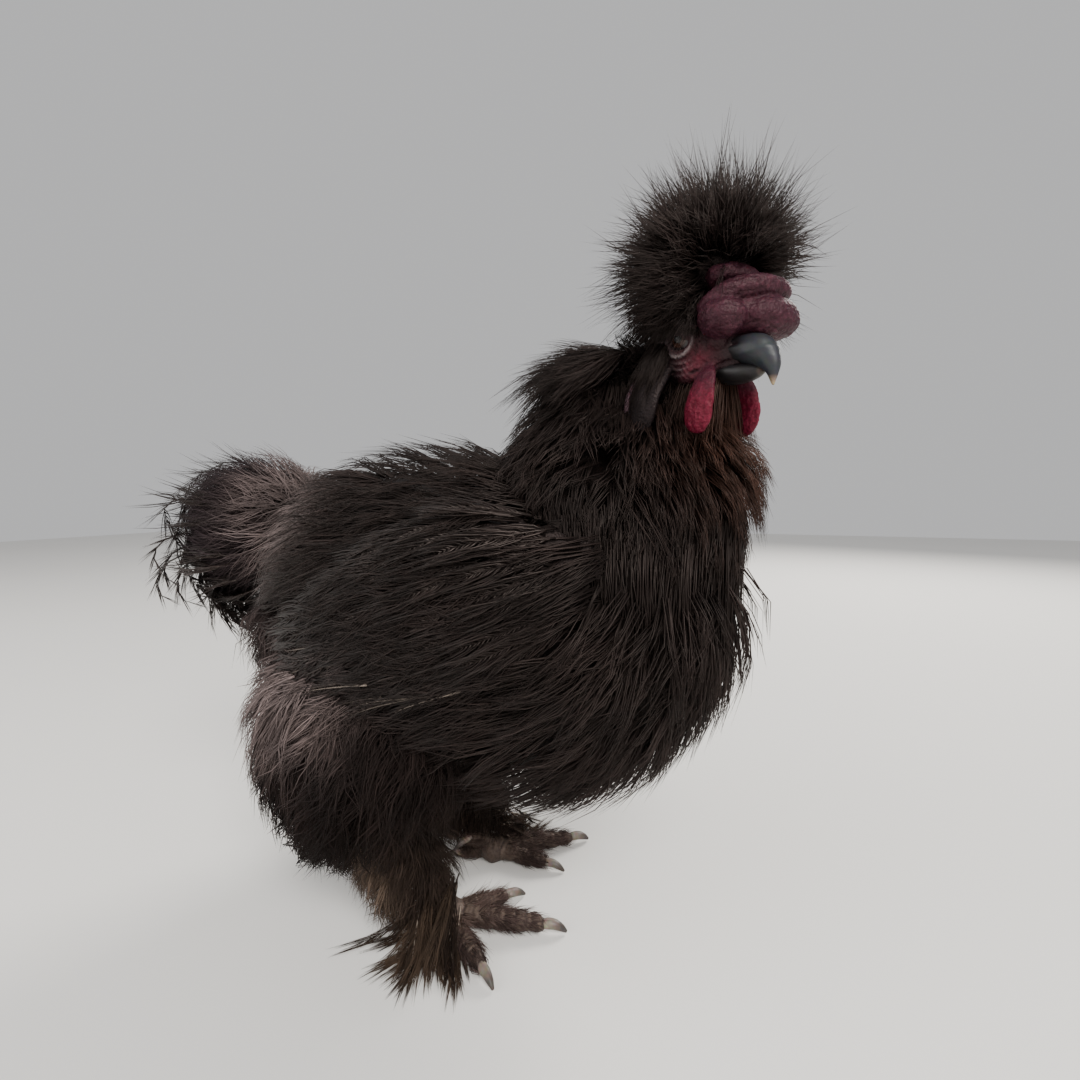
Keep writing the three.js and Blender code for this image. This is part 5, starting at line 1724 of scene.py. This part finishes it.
for word, side in SIDES.items():
    rng = WING_RNG[word]
    t = np.concatenate([np.full(count, t_at) for t_at, _, count, _ in WING_TIERS])
    lengths = np.concatenate([np.full(count, length) for _, length, count, _ in WING_TIERS])
    lean = np.concatenate([reach * np.linspace(-1, 1, count) for _, _, count, reach in WING_TIERS])
    t = np.clip(t + rng.normal(0, 0.018, len(t)), 0.05, 0.95)
    turn = OUTER_SIDE[word] + side * lean + rng.normal(0, 0.04, len(t))
    bases, outs, headings = on_wing(word, t, turn, -3.0, 0.07, rng)
    worn = np.clip((t - 0.5) * 4, 0, 1) * np.clip((0.1 - outs[:, 2]) * 3, 0, 1) * (rng.random(len(t)) < 0.7)
    vane_piece(f"wing_vanes_{word}", bases, unit(headings + outs * 0.04), outs,
               lengths * rng.uniform(0.9, 1.12, len(t)), 9.0, rng, form_uv(t, turn), barbs=40, droop=0.2,
               curl=0.35, quill=1.0, quill_tones=blend_colours(plumage_tone(bases) * 0.8, PALE_QUILL, worn))

# %% [markdown]
# ### Loose ends of the wing
# At the wing's tip the feathers come loose, stand off a little, curl in at their ends and cross each other.
# They are fewer and slimmer than the vanes, and some of their quills are pale.

# %% Loose ends of the wing
WING_ENDS = 18
for word, side in SIDES.items():
    rng = WING_RNG[word]
    t = rng.uniform(0.72, 0.95, WING_ENDS)
    turn = OUTER_SIDE[word] - side * rng.uniform(-1.3, 0.4, WING_ENDS)
    bases, outs, headings = on_wing(word, t, turn, -1.5, 0.12, rng)
    pale = rng.random(WING_ENDS) * (rng.random(WING_ENDS) < 0.6)
    vane_piece(f"wing_ends_{word}", bases, unit(headings + outs * 0.12), outs, rng.uniform(40, 66, WING_ENDS),
               6.0, rng, form_uv(t, turn), barbs=36, droop=0.5, curl=1.3, quill=1.1, barb_width=0.9,
               quill_tones=blend_colours(plumage_tone(bases) * 0.8, PALE_QUILL, pale))

# %% [markdown]
# ### Silk over the wing
# The same silk as on the back covers the wing's shoulder. It thins out towards the tip, by chance, so that
# the vanes come out from under it without an edge.

# %% Silk over the wing
for word, side in SIDES.items():
    rng = WING_RNG[word]
    coat(f"wing_silk_{word}", wings[word], [3.0], wing_flow(side), amount(560), 8, rng, width=0.7, spread=7.0,
         length=lambda t: 42 - 8 * t,
         keep=lambda roots, outs, t: (outs[:, 1] * side > -0.35) & (rng.random(len(t)) > (t - 0.45) * 1.2),
         t_range=(0.02, 0.9), flare=1.0, height=2.0, wave=1.4, swing=0.24, drift=2.5, pinch=0.6)

# %% [markdown]
# ### Worn quills
# A few quills along the wing's lower edge have lost most of their barbs and lie open, pale against the
# black. They are what shows most clearly that this is a feathered bird and not a furry one.

# %% Worn quills
WORN = 9
for word, side in SIDES.items():
    rng = WING_RNG[word]
    t = np.linspace(0.40, 0.90, WORN) + rng.normal(0, 0.02, WORN)
    turn = OUTER_SIDE[word] + side * rng.uniform(0.6, 1.3, WORN)
    bases, outs, headings = on_wing(word, t, turn, 0.5, 0.10, rng)
    lengths = rng.uniform(26, 46, WORN)
    vane_piece(f"worn_quills_{word}", bases, headings, outs, lengths, 5.0, rng, form_uv(t, turn), barbs=26,
               droop=0.1, curl=-0.3, quill=1.0, barb_width=0.6,
               quill_tones=PALE_QUILL * rng.uniform(0.25, 0.8, (WORN, 1)))

# %% [markdown]
# ### Tail
# A silkie's tail is a soft cushion, taupe-grey at its root. It is a coat of fluff over its own form, with
# much swing and a wide flare, so that it looks tousled.

# %% Tail cushion
def tail_flow(here, out):
    flow = repeated((-1, 0, 0.05), len(here))
    flow[:, 1] = out[:, 1] * 0.35
    flow[:, 2] -= 0.5 * np.abs(out[:, 2])
    return flow


rng = np.random.default_rng(111)
coat("tail_cushion", tail, [COAT], tail_flow, amount(860), 8, rng, width=0.65, spread=8.0, length=evenly(34),
     keep=lambda roots, outs, t: ~torso.covers(roots, 0.86), t_range=(0.1, 0.98), material=fluff,
     slot="flight", wave=2.6, flare=4.0, swing=0.5, drift=4.0, pinch=0.3)

# %% [markdown]
# ### Curled plumes
# Four rows of plumes fan out from the tail's root, arch over the cushion and curl down behind it. A row
# holds its number of plumes, its half-width, its height, the plumes' length and how steeply they rise.

# %% Curled plumes
PLUME_ROWS = [
    (12, 24, 212, 102, 0.85),
    (13, 30, 204, 98, 0.6),
    (13, 32, 192, 88, 0.35),
    (11, 30, 178, 74, 0.1),
]
PLUME_ROOT = -124.0
plume_parts = []
for count, across, height, length, rise in PLUME_ROWS:
    fan = np.linspace(-1, 1, count) + rng.normal(0, 0.04, count)
    outs = unit(np.stack([np.zeros(count), fan * 0.8, np.ones(count)], 1))
    lie = laid_on(np.stack([-np.ones(count), fan * 0.18, np.zeros(count)], 1), outs)
    start = (rise * rng.uniform(0.85, 1.1, count))[:, None]
    heading = unit(lie * np.cos(start) + outs * np.sin(start))
    way_out = unit(outs * np.cos(start) - lie * np.sin(start))
    bases = np.stack([np.full(count, PLUME_ROOT), fan * across, height - 14 * np.abs(fan)], 1)
    lengths = length * (1 - 0.28 * np.abs(fan)) * rng.uniform(0.9, 1.08, count)
    plume_parts.append((bases, heading, way_out, lengths))
bases, headings, outs, lengths = (np.concatenate([part[k] for part in plume_parts]) for k in range(4))
uv = np.stack([0.5 + bases[:, 1] / 90, 0.4 + (bases[:, 2] - 170) / 120], 1)
black = repeated(BROWN_BLACK, len(bases))
vane_piece("tail_plumes", bases, headings, outs, lengths, 12.0, rng, uv, barbs=56, droop=2.4, curl=0.6,
           quill=0.8, barb_width=0.9, quill_tones=black, tones=black)

# %% [markdown]
# ### Hooks of the tail
# Slim black plumes curl over at the top of the cushion, and others hang from its lower edge and end in
# loose hooks. They are made like the plumes, but narrow, strongly bent, and with barbs that are swept
# towards the tip.

# %% Hooks of the tail
def hook_feathers(name, bases, headings, outs, lengths, rng):
    headings = unit(headings)
    black = BROWN_BLACK * rng.uniform(0.7, 2.2, (len(bases), 1))
    uv = np.stack([0.5 + bases[:, 1] / 120, 0.5 + (bases[:, 2] - 190) / 160], 1)
    vane_piece(name, bases, headings, laid_on(outs, headings), lengths, 4.0, rng, uv, barbs=48, droop=1.7,
               curl=1.0, quill=0.9, barb_width=1.0, quill_tones=black, tones=black, sweep=1.5)


rng = np.random.default_rng(117)
ARCHING = 22
turn = np.pi / 2 + rng.uniform(-1.35, 1.35, ARCHING)
t = rng.uniform(0.42, 0.80, ARCHING)
outs = unit(tail.read(tail.out, t, turn))
bases = tail.read(tail.points, t, turn)
lie = laid_on(tail_flow(bases, outs) + rng.normal(0, 0.15, bases.shape), outs)
hook_feathers("tail_arches", bases, lie + outs * 0.7, outs, rng.uniform(44, 62, ARCHING), rng)

HANGING = 20
bases = np.stack([rng.uniform(low, high, HANGING) for low, high in ((-166, -142), (-30, 30), (158, 190))], 1)
ahead = rng.uniform(-1, -0.5, HANGING)
headings = np.stack([ahead, bases[:, 1] * 0.02, rng.uniform(-0.8, 0.1, HANGING)], 1)
outs = repeated((-0.3, 0, 1), HANGING)
hook_feathers("tail_hooks", bases, headings, outs, rng.uniform(30, 44, HANGING), rng)

# %% [markdown]
# ### Down of the toes
# A fine brown down covers the tops of all the toes. It is the smallest coat on the bird: short strands with
# three stations each, laid over the same toe lines that shaped the skin.

# %% Toe down
FOOT_RNG = {word: np.random.default_rng(131 + side) for word, side in SIDES.items()}
for word in SIDES:
    rng = FOOT_RNG[word]
    for name, yaw, length, radius, raised in TOES:
        heading, line = toe_line(word, yaw, length, radius, raised)
        toe = Form(line, [radius], [radius], blunt=3.4)
        coat(f"toe_down_{name}_{word}", toe, [0.6], lambda here, out: heading - 0.5 * out * (0, 0, 1),
             amount(int(length * 5)), 6, rng, width=0.45, spread=3.0, length=evenly(13),
             keep=lambda roots, outs, t: outs[:, 2] > -0.1, t_range=(0.02, 0.80), flare=2.0, height=1.6,
             stations=3, wave=1.2, material=fluff, slot="shank", tone_gain=4.2, swing=0.5, drift=1.0,
             pinch=0.3)

# %% [markdown]
# ### Foot feathers
# On its outer side each foot carries loose feathers that lie on the ground and fan out, some ahead and some
# back. Some of their quills are pale. They keep a little above the floor, so that none dips through it.

# %% Foot feathers
FOOT_FEATHERS = 40
for word, side in SIDES.items():
    rng = FOOT_RNG[word]
    heel = np.array([0.0, side * STANCE, 0.0])
    bases, headings = [], []
    for _ in range(FOOT_FEATHERS):
        fan = rng.uniform(math.radians(36), math.radians(150))
        bases.append(heel + (rng.uniform(-12, 8), side * rng.uniform(-2, 9), rng.uniform(9, 30)))
        headings.append((math.cos(fan), side * math.sin(fan), rng.uniform(-0.9, -0.2)))
    bases, headings = np.array(bases), unit(np.array(headings))
    ups = laid_on(repeated((0, 0, 1), FOOT_FEATHERS), headings)
    tones = blend_colours(plumage_tone(bases) * 0.8, TOE_DOWN, rng.uniform(0, 0.35, FOOT_FEATHERS))
    bare = (rng.random(FOOT_FEATHERS) < 0.3).astype(float)
    vane_piece(f"foot_feathers_{word}", bases, headings, ups, rng.uniform(24, 42, FOOT_FEATHERS), 6.0, rng,
               0.5 + (bases - heel)[:, :2] / 120, barbs=36, droop=0.35, curl=-0.3, quill=0.8, barb_width=0.6,
               sweep=1.8, tones=tones, quill_tones=blend_colours(tones, PALE_QUILL, bare), material=fluff,
               slot="fluff")

# %% [markdown]
# ## Sizes and finish
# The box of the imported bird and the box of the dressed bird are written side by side, so that a coat that
# grows too far past the solids shows at once.

# %% Write the sizes and finish
DRESSED_BOX = [list(corner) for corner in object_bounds()]
for before, after, word in zip(CAD_BOX, DRESSED_BOX, ("low", "high")):
    print(word, "corner moves by", [round((b - a) * 1000, 1) for a, b in zip(before, after)], "mm")
